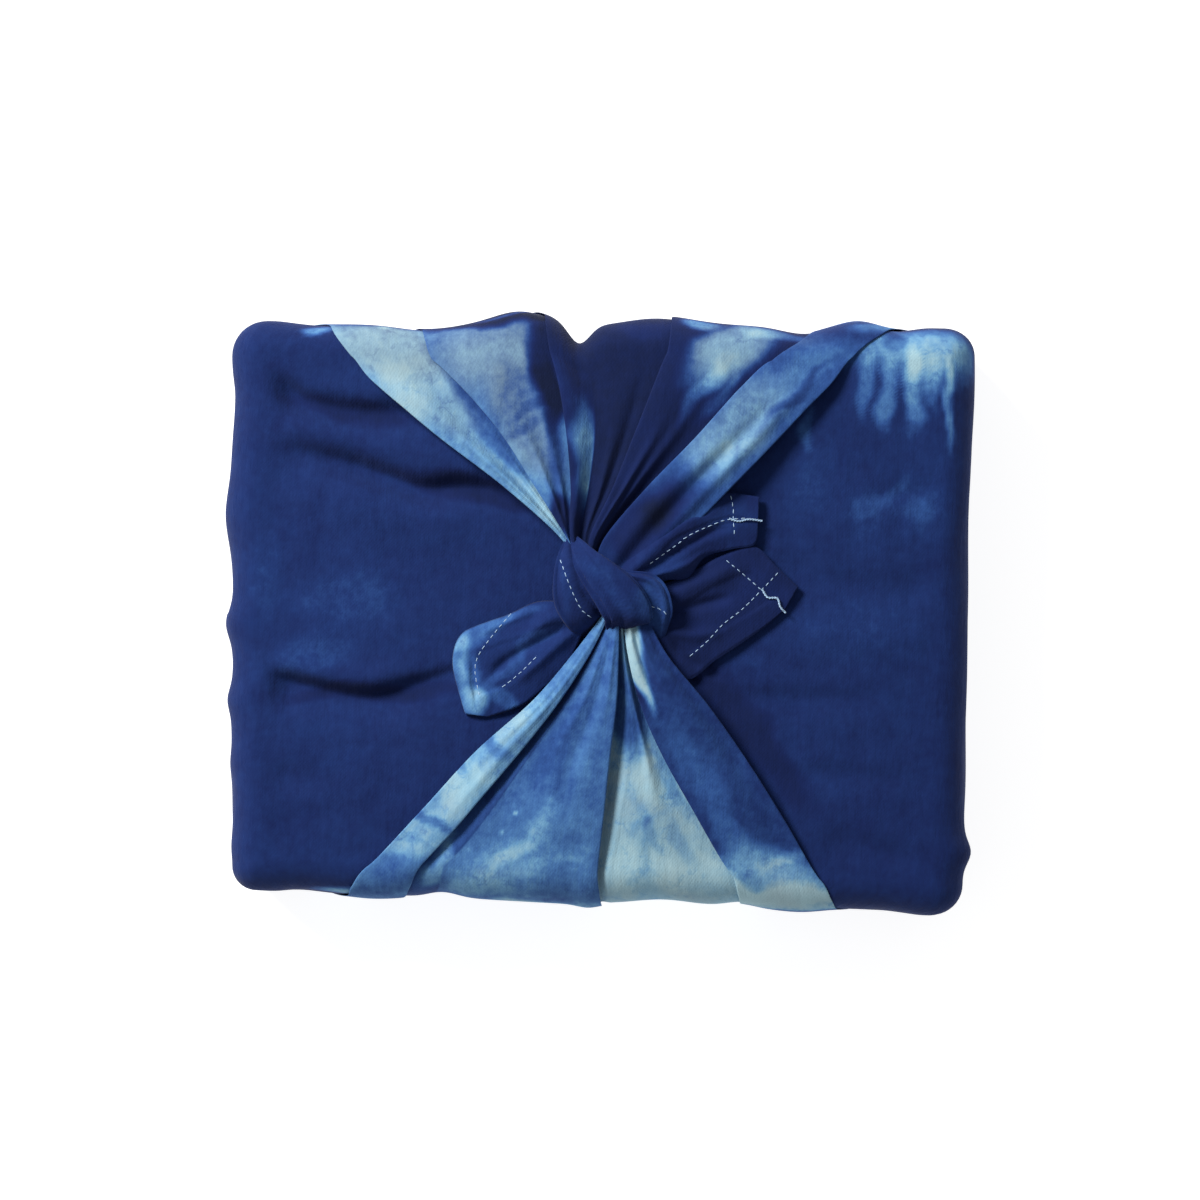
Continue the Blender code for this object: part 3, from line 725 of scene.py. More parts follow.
def make_wrapped_body():
    """Rings round the sides from the base to the rim, then rings inwards over the top."""
    arc = [PARCEL_HEIGHT - RIM_RADIUS * (1.0 - math.sin(math.radians(a))) for a in RIM_ANGLES]
    rings, unrolled = [], []
    for height in [*BASE_HEIGHTS, *SIDE_HEIGHTS, *arc]:
        ring = outline(side_inset(height))
        x, y = ring[:, 0], ring[:, 1]
        push = SIDE_SWELL * swells(np.arctan2(y, x) * GIRTH_RADIUS, height * 1.5, SWELL_SIZE, 41)
        grow = 1.0 + push * ease(height / 12.0) / 170.0
        rings.append(np.stack([x * grow, y * grow, np.full(len(x), height)], 1))
        reach = 1.0 + (PARCEL_HEIGHT - height) / GIRTH_RADIUS
        unrolled.append(np.stack([x * reach, y * reach], 1))
    for inset in TOP_INSETS:
        ring = outline(inset)
        x, y = ring[:, 0], ring[:, 1]
        rings.append(np.stack([x, y, top_height(x, y, inset)], 1))
        unrolled.append(ring)
    places = np.array(unrolled)
    level = dye_and_shade_level(places[..., 0], places[..., 1], BODY_GROUND, PANEL_DYE_AND_SHADE)
    return cloth_from_grid("wrapped_body", np.array(rings), level, places, round_rows=True, capped=True)


wrapped_body = make_wrapped_body()

# %% [markdown]
# ## The pleated fans
# Each fan is one thin sheet. Across it, the cloth runs up to a pleat's edge, turns under, goes back
# and turns again beneath the next pleat. Down its length it comes from the knot, spreads over the
# top, turns over the rim and falls to the base. Each table row is one fold, with its place at ten
# stations on the way. A pleat's open edge faces left or right and laps over its neighbour. Grooves in
# one smooth sheet would be easier, but a real lap hides cloth and throws a shadow, so the sheet does too.

# %% Folds of the two fans
STATIONS = (
    # name, inset of the upper fan, inset of the lower fan, lift over the skin, share of fold height
    ("tied", 118, 141, 9.5, 0.4),
    ("knot", 104, 122, 8.5, 0.8),
    ("inner", 80, 98, 6, 1.05),
    ("middle", 55, 73, 3.8, 1),
    ("outer", 30, 45, 2.2, 0.9),
    ("rim", 16.5, 16.5, 1.2, 0.6),
    ("rim turn", 4, 4, 0.9, 0.34),
    ("side", 0, 0, 0.8, 0.24),
    ("low side", 0, 0, 0.8, 0.24),
    ("base", 0, 0, 0.7, 0.2),
)
UPPER_FOLDS = (
    # kind, height beside the edge, height of the edge, x at the ten stations
    ("end", 0, 3, (-11, -19, -46, -79, -108, -119, -127, -131, -140, -150)),
    ("left", 2.2, 5.6, (-9, -16, -31, -47, -68, -80, -84, -86, -90, -96)),
    ("left", 2.5, 7.5, (-6, -14, -14, -16, -20, -24, -26, -27, -32, -38)),
    ("soft", 0.8, 0.8, (-7, -9, -5, -2, -3, -8, -9, -10, -8, -6)),
    ("left", 1.5, 8, (-4, -5, 6, 16, 26, 32, 34, 35, 39, 44)),
    ("left", 2.5, 7.5, (-2, 2, 22, 46, 68, 82, 96, 104, 113, 124)),
    ("end", 0, 5, (20, 38, 62, 86, 109, 121, 134, 142, 151, 158)),
)
LOWER_FOLDS = (
    ("end", 0, 4, (2, -12, -32, -59, -84, -110, -119, -122, -131, -143)),
    ("right", 0.5, 6.5, (5, -4, -19, -38, -61, -84, -91, -95, -106, -116)),
    ("soft", 4, 4, (6, -2.6, -15, -32, -51, -72, -76, -79, -88, -98)),
    ("right", 0.4, 9.5, (9, 9, 8, 5, 2, -1, 0, 1, 0, -2)),
    ("soft", 4.6, 4.6, (10, 11, 14, 15, 11, 5, 5, 6, 8, 8)),
    ("left", 1.5, 6, (11, 13, 19, 30, 46, 62, 66, 68, 74, 80)),
    ("end", 0, 5, (22, 32, 52, 70, 88, 105, 111, 115, 124, 134)),
)
LAP_SHARE = 0.3
MOST_LAP = 9.0
EDGE_RADIUS = 0.9  # half the thickness of a pleat's doubled edge
HEM_TUCK = 9.0  # how far a fan's outer edge turns under

UPPER_GATHERS = (
    # pleat, share across at the knot, share across at the rim, height, half width, near, far
    (0, 0.35, 0.30, 1.6, 5, 0, 4.4),
    (0, 0.70, 0.62, -1.8, 7, 0.5, 4.8),
    (0, 0.85, 0.86, 1.2, 3, 0.8, 4.6),
    (1, 0.40, 0.35, 1.4, 5, 0, 4),
    (1, 0.75, 0.70, 1.3, 5, 0, 4.6),
    (2, 0.35, 0.40, 1.2, 3, 0, 3),
    (3, 0.50, 0.45, 1.5, 5, 0, 3.6),
    (3, 0.80, 0.75, -1.2, 5, 0.8, 5),
    (4, 0.35, 0.30, 1.7, 5, 0, 3.8),
    (4, 0.65, 0.60, 1.3, 6, 0, 4.4),
    (5, 0.30, 0.30, 1.8, 5, 0, 3.4),
    (5, 0.55, 0.50, -1.4, 4, 0.3, 4.2),
    (5, 0.75, 0.72, 1.6, 4, 0, 4.6),
)
LOWER_GATHERS = (
    (0, 0.35, 0.30, 1.5, 5, 0, 4),
    (0, 0.70, 0.65, 1.2, 4, 0, 4.6),
    (2, 0.30, 0.30, 1.4, 7, 0, 3.6),
    (2, 0.60, 0.55, -1.2, 7, 0.4, 4.4),
    (2, 0.82, 0.80, 1.2, 6, 0, 3),
    (4, 0.50, 0.45, 1.6, 8, 0.8, 4.8),
    (5, 0.15, 0.10, 2.2, 5, 0, 1.8),
    (5, 0.32, 0.24, -2.6, 4, 0, 2.4),
    (5, 0.50, 0.40, 2.2, 5, 0, 2.4),
    (5, 0.72, 0.66, 1.3, 8, 0, 4.2),
    (5, 0.88, 0.85, -1.2, 6, 0.6, 4.6),
)
print("folds in the fans:", len(UPPER_FOLDS), "and", len(LOWER_FOLDS))

# %% [markdown]
# ## A section across a fan
# One section is a line of points from left to right. It steps up onto each lap, goes round the lap's
# thin edge and dips under the next. Small gathers ride on the slopes between the laps.

# %% Laps
LAID = (0.0, 0.35, 0.7, 1.0)  # shares of the lap where the lower cloth lies flat
RISING = (0.3, 0.6, 0.85)  # shares of the way back up to the edge
EDGE_ANGLES = (-90.0, -125.0, -160.0, -200.0, -235.0, -270.0)
EDGE_START = len(LAID) + 2 + len(RISING)  # number of a lap's points before its round edge
UNDER_POINTS = len(LAID) + 2  # number of a lap's points that belong to the pleat beneath
END_ROOM = 40.0


def lap_points(x, low, high, room):
    """Points of a lap whose open edge faces left, from its neighbour up and over the edge."""
    lap = min(MOST_LAP, LAP_SHARE * room)
    edge = min(EDGE_RADIUS, 0.22 * room)
    under = max(high - 2.0 * edge, low + 0.5)
    points = [(x + lap * share, low) for share in LAID]
    points += [(x + lap + 0.3 * edge, low + 0.15), (x + lap, low + 0.4)]
    points += [(mix(x + lap, x + edge, s), mix(low + 0.4, under, ease(s))) for s in RISING]
    for angle in EDGE_ANGLES:
        turn = math.radians(angle)
        points.append((x + edge + edge * math.cos(turn), high - edge + edge * math.sin(turn)))
    return points


def mirrored(points, x):
    """The same points for a lap that faces right."""
    return [(2.0 * x - across, height) for across, height in points][::-1]


def end_points(x, high, room):
    """Points of a fan's left edge, which curls under itself."""
    tuck = min(HEM_TUCK, 0.5 * room)
    return [(x + tuck, -1.5), (x + 0.5 * tuck, 0.3 * high)] + lap_points(x, 0.0, high, room)[EDGE_START:]


def fold_points(kind, low, high, x, room_left, room_right, first):
    """Points of one fold, by its kind."""
    if kind == "end":
        return end_points(x, high, room_right) if first else mirrored(end_points(x, high, room_left), x)
    if kind == "left":
        return lap_points(x, low, high, room_right)
    if kind == "right":
        return mirrored(lap_points(x, low, high, room_left), x)
    return [(x, high)]


print("points round a lap:", len(lap_points(0.0, 2.0, 6.0, END_ROOM)))

# %% One section across a fan
GATHER_FADE_IN = 0.6  # stations
GATHER_FADE_OUT = 1.6
GATHER_ROOM = 14.0  # mm; gathers are lower on slopes narrower than this
SLOPE_SWELL = 0.6  # mm; cloth between two laps arches this much


def add_gathers(heights, share, run, rim_width, gathers, place):
    """Raise or lower the slope of one pleat along its gathers."""
    for _, at_knot, at_rim, rise, half, near, far in gathers:
        middle = mix(at_knot, at_rim, min(place / 5.0, 1.0))
        width = max(half * run / rim_width, 1.0)
        reach = ease((place - near + GATHER_FADE_IN) / GATHER_FADE_IN)
        reach = reach * ease((far - place) / GATHER_FADE_OUT)
        fit = min(1.0, run / GATHER_ROOM)
        heights = heights + rise * fit * reach * bell((share - middle) * run, width)
    return heights


def fan_section(folds, counts, rim_widths, gathers, place):
    """One section from left to right: x, height and pleat number of each point."""
    last = len(folds) - 1
    points, pleats = [], []
    for index, (kind, low, high, x) in enumerate(folds):
        room_left = x - folds[index - 1][3] if index else END_ROOM
        room_right = folds[index + 1][3] - x if index < last else END_ROOM
        lap = fold_points(kind, low, high, x, room_left, room_right, index == 0)
        points += lap
        split = {"left": UNDER_POINTS, "right": len(lap) - UNDER_POINTS}.get(kind, 0)
        pleats += [max(index - 1, 0)] * split + [min(index, last - 1)] * (len(lap) - split)
        if index < last:
            next_kind, next_low, next_high, x_next = folds[index + 1]
            start_height = low if kind == "right" else high
            end_height = next_low if next_kind == "left" else next_high
            start_x = points[-1][0]
            end_x = x_next - EDGE_RADIUS if next_kind in ("right", "end") else x_next
            share = (np.arange(counts[index]) + 1.0) / (counts[index] + 1.0)
            run = max(end_x - start_x, 0.5)
            heights = mix(start_height, end_height, ease(share)) + SLOPE_SWELL * np.sin(math.pi * share)
            own = [row for row in gathers if row[0] == index]
            heights = add_gathers(heights, share, run, rim_widths[index], own, place)
            points += list(zip(start_x + share * run, heights))
            pleats += [index] * counts[index]
    return points, pleats


print("gathers:", len(UPPER_GATHERS), "and", len(LOWER_GATHERS))

# %% [markdown]
# ## Down the length of a fan
# Each section is laid over the parcel's skin at its own distance from the knot: over the crowned top,
# round the rim, and down the side, where the cloth flattens.

# %% A fan from the knot to the base
TOP_STATIONS = 5  # the stations before the rim's turn
ARC_LENGTH = 0.5 * math.pi * RIM_RADIUS
FAN_BOTTOM = 4.0  # the fan stops this high, where it is tucked under the parcel


def side_line(side, x):
    """Distance of the parcel's long side from the X axis at this x, before its waves."""
    corners = {row[0]: row for row in CORNERS}
    first, second = ("left", "back") if side > 0 else ("front", "right")
    share = (x - corners[first][1]) / (corners[second][1] - corners[first][1])
    return np.abs(mix(corners[first][2], corners[second][2], share))


def skin(side, x, height, place, inset_column):
    """Where points this high over the parcel's skin are, and their unrolled distance from the axis."""
    name = "back" if side > 0 else "front"
    if place <= TOP_STATIONS:
        inset = float(curve_at([row[inset_column] for row in STATIONS[:6]], place))
        across = side_line(side, x) - inset + wave_out(name, x, inset)
        level = dome_height(x, side * across, inset)
        return across, level + height, across
    if place <= TOP_STATIONS + 2:
        turn = math.radians(45.0 * (place - TOP_STATIONS))
        drop = RIM_RADIUS * (1.0 - math.cos(turn))
        beyond = RIM_RADIUS * turn
    else:
        turn = 0.5 * math.pi
        lowest = PARCEL_HEIGHT - FAN_BOTTOM
        drop = mix(RIM_RADIUS, lowest, (place - TOP_STATIONS - 2.0) / 2.0)
        beyond = ARC_LENGTH + drop - RIM_RADIUS
    inset = side_inset(PARCEL_HEIGHT - drop)
    line = side_line(side, x) + wave_out(name, x, inset)
    across = line - inset + height * math.sin(turn)
    unrolled = line - RIM_RADIUS - SIDE_BULGE + beyond
    return across, PARCEL_HEIGHT - drop + height * math.cos(turn), unrolled


HEM_SETTLES = 0.85  # a fan's outer edge loses this share of its height on its way over the rim
SETTLE_START = 1.4  # stations before the rim
SETTLE_RUN = 2.0
FAN_CRINKLES = ((0.22, 0.4, 7.0, 51), (0.4, 0.5, 18.0, 52))  # rise, stretch, size in mm, seed
SLOPE_STEP = 1.5  # mm between points at the rim
FEWEST_POINTS = 12
FAN_STEPS = np.concatenate(
    [np.linspace(0.0, 5.0, 84)[:-1], np.linspace(5.0, 7.0, 16)[:-1], np.linspace(7.0, 9.0, 26)]
)


def make_fan(name, side, folds, gathers, base_levels, patches, dye_parts, grey_patches):
    """Sweep the sections of one fan from the knot to the base, with their dye and painted shade."""
    inset_column = 1 if side > 0 else 2
    rim = [row[3][TOP_STATIONS] for row in folds]
    rim_widths = [b - a for a, b in zip(rim, rim[1:])]
    counts = [max(FEWEST_POINTS, int(width / SLOPE_STEP)) for width in rim_widths]
    paths = np.array([row[3] for row in folds], float).T
    lifts = [row[3] for row in STATIONS]
    shares = [row[4] for row in STATIONS]
    rows, levels, greys, flats = [], [], [], []
    for place in FAN_STEPS:
        xs = curve_at(paths, [place])[0]
        share, lift = float(curve_at(shares, place)), float(curve_at(lifts, place))
        settled = 1.0 - HEM_SETTLES * float(ease((place - TOP_STATIONS + SETTLE_START) / SETTLE_RUN))
        here = [
            (kind, low, high * (settled if kind == "end" else 1.0), x)
            for (kind, low, high, _), x in zip(folds, xs)
        ]
        points, pleats = fan_section(here, counts, rim_widths, gathers, place)
        x, height = np.array(points).T
        height = lift + share * height
        across, level, unrolled = skin(side, x, height, place, inset_column)
        run = np.concatenate([[0.0], np.cumsum(np.hypot(np.diff(x), np.diff(height)))])
        run -= run[len(run) // 2]
        crinkle = sum(
            rise * swells(run, stretch * unrolled, size, seed) for rise, stretch, size, seed in FAN_CRINKLES
        )
        rows.append(np.stack([x, side * across, level + crinkle * share], 1))
        pleats = np.array(dye_parts)[np.array(pleats)]
        base = np.array(base_levels)[pleats]
        levels.append(dye_and_shade_level(x, side * unrolled, base, patches, pleats))
        greys.append(dye_and_shade_level(x, side * unrolled, 0.0, grey_patches, pleats))
        flats.append(np.stack([run, unrolled], 1))
    return cloth_from_grid(
        name, np.array(rows), np.array(levels), np.array(flats), grey=np.array(greys)
    )


print("sections down a fan:", len(FAN_STEPS))

# %% [markdown]
# ## The upper fan
# Its two left pleats were bound tightly in the dye, so they are pale with dark veins. The pleats in
# the middle took the dye fully and are painted darker still as shade, and the right one is streaked.

# %% Upper fan
# Dye level of each pleat; the three middle pleats are deep indigo, set below the ground as painted shade
UPPER_BASE = (0.66, 0.44, -0.08, -0.12, -0.06, 0.28)
UPPER_DYE_AND_SHADE = (
    # pleat, x, y, half length, half width, heading, strength
    (0, -98, 124, 27, 12, -12, 0.04),
    (0, -92, 105, 17, 9, -50, 0.2),
    # painted shadow: the next two rows darken the cloth under the second fold's raised edge
    (0, -55, 93, 46, 5.5, -52, -0.32),
    (0, -60, 104, 12, 5, -40, -0.14),
    (0, -27, 51, 17, 4, -47, 0.22),
    (0, -64, 76, 26, 6, -45, -0.1),
    (0, -90, 148, 50, 9, 2, -0.6),
    (0, -104, 139, 5, 2.5, 0, 0.3),
    (1, -36, 127, 20, 7, 5, 0.1),
    (1, -60, 122, 16, 7, -40, 0.08),
    (1, -42, 112, 16, 9, -45, -0.08),
    (1, -37, 70, 20, 7, -60, 0.12),
    # deep blue beside the third fold: its own dye, deepened as painted shadow under the edge
    (1, -25, 118, 27, 7.5, -83, -0.64),
    (1, -22, 84, 26, 4.5, -84, -0.22),
    (1, -34, 97, 11, 3, 22, -0.16),
    (1, -38, 87, 10, 2.6, 35, -0.16),
    (1, -18, 46, 10, 6, -70, -0.5),
    (1, -52, 144, 40, 6.5, 4, -0.62),
    (1, -44, 145, 20, 1.6, 10, 0.4),
    (1, -60, 160, 50, 12, 0, -0.4),
    (2, -6, 76, 24, 6.5, -82, 0.64),
    (2, -8, 56, 12, 5, -80, 0.18),
    (2, -17, 110, 20, 4, -85, 0.1),
    (3, 24, 137, 14, 5, 0, 0.1),
    (3, 0, 160, 40, 14, 0, 0.35),
    (4, 62, 125, 24, 12, 35, 0.68),
    (4, 50, 108, 17, 4, 50, 0.3),
    (4, 58, 104, 14, 3, 48, 0.22),
    (4, 48, 140, 10, 4, 0, 0.6),
    (4, 84, 135, 18, 4, -5, 0.35),
    (4, 70, 158, 40, 10, 0, 0.4),
    (5, 65, 88, 32, 13, 45, 0.32),
    (5, 58, 74, 14, 6, 40, 0.14),
    (5, 100, 116, 22, 7, 35, 0.12),
    (5, 92, 104, 22, 2.4, 42, -0.2),
    (5, 36, 56, 22, 10, 45, -0.2),
    (5, 18, 40, 24, 14, 45, -0.3),
    (5, 120, 136, 26, 9, 0, -0.16),
    (5, 134, 140, 12, 4, 20, 0.3),
    (5, 80, 137, 16, 4, 0, 0.3),
)
UPPER_GREY = (
    # pleat, x, y, half length, half width, heading, how far the blue has washed out to grey
    (0, -100, 128, 32, 15, -10, 0.62),
    (0, -76, 102, 24, 10, -48, 0.3),
    (1, -45, 124, 36, 20, 0, 0.5),
    (1, -36, 88, 26, 11, -60, 0.4),
    (4, 62, 128, 24, 14, 20, 0.4),
    (5, 66, 90, 30, 14, 45, 0.2),
    (5, 84, 134, 26, 8, 0, 0.5),
)
upper_fan = make_fan(
    "upper_fan", 1, UPPER_FOLDS, UPPER_GATHERS, UPPER_BASE, UPPER_DYE_AND_SHADE, range(6), UPPER_GREY
)

# %% [markdown]
# ## The lower fan
# The nearer fan has a flat pale pleat on the left that laps over a recess of pale cloth painted dark
# as shade, a broad half-dyed pleat, a deep narrow gap, a pale puffed pleat with a star of creases, and
# a deep blue pleat that laps over it from the right.

# %% Lower fan
# Dye level of each pleat; the second, the recess under the left pleat, is pale cloth painted dark as shade
LOWER_BASE = (0.6, 0.22, 0.38, 0.45, 0.84, 0.14)
LOWER_DYE_AND_SHADE = (
    (0, -65, -82, 18, 9, 50, 0.28),
    (0, -86, -106, 14, 9, 45, 0.16),
    (0, -99, -124, 18, 8, 20, -0.24),
    (0, -82, -98, 16, 2.4, -30, -0.3),
    (0, -69, -70, 10, 2, -55, -0.3),
    (0, -40, -52, 16, 5, 50, 0.2),
    (0, -50, -62, 10, 3, -30, -0.2),
    (0, -14, -20, 20, 9, 50, -0.08),
    (0, -110, -140, 30, 8, 0, -0.2),
    (1, -79, -121, 13, 5, 50, 0.36),
    (1, -72, -108, 8, 4, 50, 0.2),
    (2, -34, -108, 30, 12, 38, 0.08),
    (2, -34, -106, 20, 3, 42, 0.12),
    (2, -46, -117, 18, 3, 30, 0.12),
    (2, -24, -119, 18, 3, 8, 0.12),
    (2, -30, -98, 16, 2.4, 50, 0.1),
    (2, -37, -94.6, 1.2, 0.7, 45, 0.4),
    (2, -47, -104.6, 1.2, 0.7, 20, 0.3),
    (2, -9, -74, 15, 5, 80, 0.1),
    (2, -8, -116, 22, 9, 85, 0.08),
    (2, -22, -62, 20, 6, 55, -0.08),
    (2, -62, -128, 16, 7, 10, 0.12),
    (2, -44, -122, 34, 14, 10, 0.12),
    (2, -28, -143, 26, 6, 0, 0.42),
    (4, 13, -42, 27, 7, -84, -0.5),
    # painted shade beside the fifth fold, where the deep blue pleat laps over
    (4, 26, -62, 16, 4, -60, -0.2),
    (4, 22, -80, 16, 6, -75, 0.12),
    (4, 21.8, -98, 11, 8, 0, -0.02),
    (4, 17, -92, 8.5, 2.8, -51, -0.12),
    (4, 28, -94.5, 8, 2.8, 27, -0.12),
    (4, 16, -101, 8, 2.8, 29, -0.12),
    (4, 26.5, -106.5, 11, 2.8, -62, -0.13),
    (4, 21.5, -110, 13, 2.4, -90, -0.1),
    (4, 40, -109, 14, 3.4, -66, -0.2),
    # painted shade beside the fifth fold, continued towards the rim
    (4, 36, -84, 18, 4, -58, -0.16),
    (4, 10, -120, 16, 8, 90, 0.16),
    (4, 32, -122, 14, 7, -40, 0.14),
    (4, 50, -122, 14, 6, -40, 0.1),
    (5, 12, -18, 24, 2.8, -88, 0.8),
    (5, 14.6, -24, 20, 1.6, -80, -0.3),
    (5, 18.5, -22, 24, 3.2, -78, 0.85),
    (5, 46, -74, 26, 8, -55, 0.14),
    (5, 56, -64, 20, 6, -50, 0.04),
    (5, 60, -104, 16, 6, -45, 0.16),
    (5, 80, -125, 28, 12, -8, 0.5),
    (5, 64, -130, 10, 5, -30, 0.4),
    (5, 90, -116, 14, 2.4, 30, 0.2),
    (5, 90, -138, 40, 9, 0, 0.75),
    (5, 80, -165, 50, 14, 0, 0.3),
)
LOWER_GREY = ((4, 44, -112, 24, 20, -50, 0.25),)
LOWER_DYE_PARTS = (0, 1, 2, 4, 4, 5)  # the puffed pleat and its hidden flank are dyed as one
lower_fan = make_fan(
    "lower_fan", -1, LOWER_FOLDS, LOWER_GATHERS, LOWER_BASE, LOWER_DYE_AND_SHADE, LOWER_DYE_PARTS, LOWER_GREY
)

# %% [markdown]
# ## The knot
# The two gathered corners cross and go round each other once more, a square knot pulled snug. From
# above it shows as three bands of gathered cloth: a lobe that comes round from the left, a broad band
# that crosses in front, and one that turns away behind on the right. Each band is a flattened tube
# along its own middle line, with the ridges of its gathers running down it. One long tube could be tied
# round itself, but three bands whose ends hide under each other are far easier to shape.

# %% Bands of the knot
BAND_SIDES = 96
BAND_STEPS = 14  # sections between two rows of a band's table
BAND_FLATNESS = 0.62  # below 1, a band's section is flatter on top than an ellipse
BANDS = {
    # name: rows of x, y, z, width, thickness
    "knot_left_band": (
        (-13.8, 37.5, 80, 2.5, 3),
        (-14, 27, 85.5, 11, 8),
        (-13, 17, 88, 18.5, 10),
        (-11, 8.5, 87.5, 22.5, 9.5),
        (-6.5, 1.5, 85.5, 23.5, 7.5),
        (-3.5, -1.8, 80, 21.5, 6),
        (-3, -2.2, 72, 20, 6),
    ),
    "knot_middle_band": (
        (-13.2, 37, 82.5, 2.5, 3),
        (-8, 27, 88.5, 10.5, 8),
        (0, 17.5, 91.5, 17, 9),
        (8, 9, 91.5, 21.5, 9),
        (12.5, 2, 89.5, 22, 8),
        (13.6, -2.6, 85.5, 22, 6),
        (13.8, -3.4, 79, 21.5, 6),
        (13.8, -3.6, 71, 21, 6),
    ),
    "knot_right_band": (
        (0, 18.5, 83, 9, 7),
        (13, 15, 86, 11, 8),
        (23, 11.5, 86.5, 14.5, 8),
        (26.5, 3.5, 85.5, 15, 7.5),
        (27, -5, 82, 11.5, 6.5),
        (27, -13, 77.5, 6.5, 4),
    ),
}
BAND_FOLDS = {
    # name: rows of turn at the start, turn at the end, height, half width before and after the
    # fold's line; the turn goes from 0 on one side over the top at 0.25 to 0.5 on the other
    "knot_left_band": (
        (0.12, 0.13, 1.4, 0.07, 0.01),
        (0.24, 0.27, 2, 0.1, 0.01),
        (0.34, 0.36, 1.7, 0.06, 0.01),
        (0.42, 0.44, 1.3, 0.05, 0.01),
    ),
    "knot_middle_band": (
        (0.12, 0.06, 1.3, 0.05, 0.01),
        (0.2, 0.13, 1.8, 0.01, 0.08),
        (0.3, 0.22, 2.1, 0.01, 0.1),
        (0.37, 0.36, 1.7, 0.06, 0.01),
        (0.44, 0.45, 1.2, 0.05, 0.01),
    ),
    "knot_right_band": (
        (0.15, 0.2, 1.4, 0.06, 0.01),
        (0.3, 0.28, 1.9, 0.01, 0.08),
        (0.4, 0.38, 1.3, 0.01, 0.05),
    ),
}
KNOT_DYE = (
    (0, -16, 12, 14, 3, -80, 0.07),
    (0, 6, 12, 20, 4, -50, 0.08),
    (0, 27, 5, 14, 9, -80, 0.16),
    (0, 12, -4, 12, 3, -10, -0.05),
)
KNOT_GROUND = 0.04
FULL_FOLD_WIDTH = 14.0  # folds are lower where a band is narrower than this
FOLDS_SETTLE = 0.8  # share of their height that folds lose towards the tucked end of a band
SETTLE_FROM, SETTLE_OVER = 0.6, 0.25  # shares of the band's length
BAND_CRINKLE = 0.2
BAND_GIRTH = 46.0


def band_rise(name, turn, share, width, distance):
    """How far the ridges of its gathers stand out of a band."""
    rise = np.zeros((len(share), BAND_SIDES))
    for at_start, at_end, height, before, after in BAND_FOLDS[name]:
        gap = (turn[None, :] - mix(at_start, at_end, share)[:, None] + 0.5) % 1.0 - 0.5
        rise += height * bell(gap, np.where(gap < 0.0, before, after))
    size = np.minimum(width, FULL_FOLD_WIDTH)[:, None] / FULL_FOLD_WIDTH
    size = size * (1.0 - FOLDS_SETTLE * ease((share - SETTLE_FROM) / SETTLE_OVER))[:, None]
    crinkle = swells(turn[None, :] * BAND_GIRTH, distance[:, None] * 0.5, 7.0, len(name))
    return rise * size + BAND_CRINKLE * crinkle


def make_band(name):
    """Sweep a flattened section along one band's middle line."""
    rows = BANDS[name]
    spine = curve_at(rows, np.linspace(0, len(rows) - 1, BAND_STEPS * (len(rows) - 1) + 1))
    middle, width, thickness = spine[:, :3], spine[:, 3], spine[:, 4]
    across, up, distance = directions_along(middle)
    turn = np.linspace(0.0, 1.0, BAND_SIDES, endpoint=False)
    rise = band_rise(name, turn, np.linspace(0.0, 1.0, len(spine)), width, distance)
    flat_cos, flat_sin = (
        np.sign(wave) * np.abs(wave) ** BAND_FLATNESS
        for wave in (np.cos(math.tau * turn), np.sin(math.tau * turn))
    )
    sides = (0.5 * width[:, None] + rise) * flat_cos
    tops = (0.5 * thickness[:, None] + rise) * flat_sin
    points = middle[:, None] + sides[..., None] * across[:, None] + tops[..., None] * up[:, None]
    level = dye_and_shade_level(points[..., 0], points[..., 1], KNOT_GROUND, KNOT_DYE)
    girth = turn[None, :] * 0.8 * math.pi * width[:, None]
    flat = np.stack([girth, np.broadcast_to(distance[:, None], girth.shape)], -1)
    return cloth_from_grid(name, points, level, flat, round_rows=True, capped=True)


knot_bands = [make_band(name) for name in BANDS]

# %% [markdown]
# ## The loose tails
# The corners of the square stick out of the knot. Each has its hem: the edge turned over twice and
# sewn, so it is thicker for the last 13 mm. The cloth between is thin and lies in long soft folds.
# Thickness could come from a modifier, but only points of its own let the hem be thicker than the rest.

# %% Tails
HEM_WIDTH = 12.5
HEM_RISE = 0.55  # the turned hem stands this much higher
CLOTH_THICKNESS = 1.3
TAIL_COLUMNS = 44
TAIL_STEPS = 12
TAIL_BASE = PARCEL_HEIGHT + CROWN
TAILS = {
    # name: rows of x, y of one edge, x, y of the other edge, heights at the edge, middle and edge
    "left_tail": (
        (-16, 6, -8, -8, 10, 12, 10),
        (-30, 6, -14, -22, 8.2, 11.7, 7.7),
        (-43.5, 0, -21, -31, 5.7, 9.7, 5.7),
        (-55, -4, -28, -37, 3.8, 7.3, 4.3),
        (-65, -8.5, -35, -42.5, 2.7, 5.2, 2.7),
        (-69.5, -16, -43, -46, 2, 4, 2),
        (-70, -27, -49.5, -48, 1.5, 3, 1.5),
        (-64.5, -47.5, -53, -49, 1, 2, 1),
    ),
    "upper_right_tail": (
        (8, 22, 18, 12, 10, 14, 10),
        (20, 36, 31, 16, 9.7, 13.7, 8.2),
        (28, 46, 42, 17.5, 8.2, 12.2, 6.2),
        (38, 51.5, 50, 27, 7.1, 10.6, 5.6),
        (49, 56, 63, 31, 5.3, 7.8, 4.8),
        (60, 58, 72.5, 32.5, 4.2, 5.2, 3.7),
        (76, 56, 75, 36, 2.8, 3.3, 2.8),
    ),
    "lower_right_tail": (
        (22, 12, 27, -16, 6, 8, 5.5),
        (40, 18, 41, -31, 5, 6, 4),
        (56, 27, 55, -22, 3.7, 4.7, 3.2),
        (73, 32.5, 68, -13.5, 2.8, 3.6, 2.8),
        (84, 23, 78, -6.5, 2, 2.8, 2),
        (94.5, 13, 88, 2, 1.6, 2, 1.6),
    ),
}
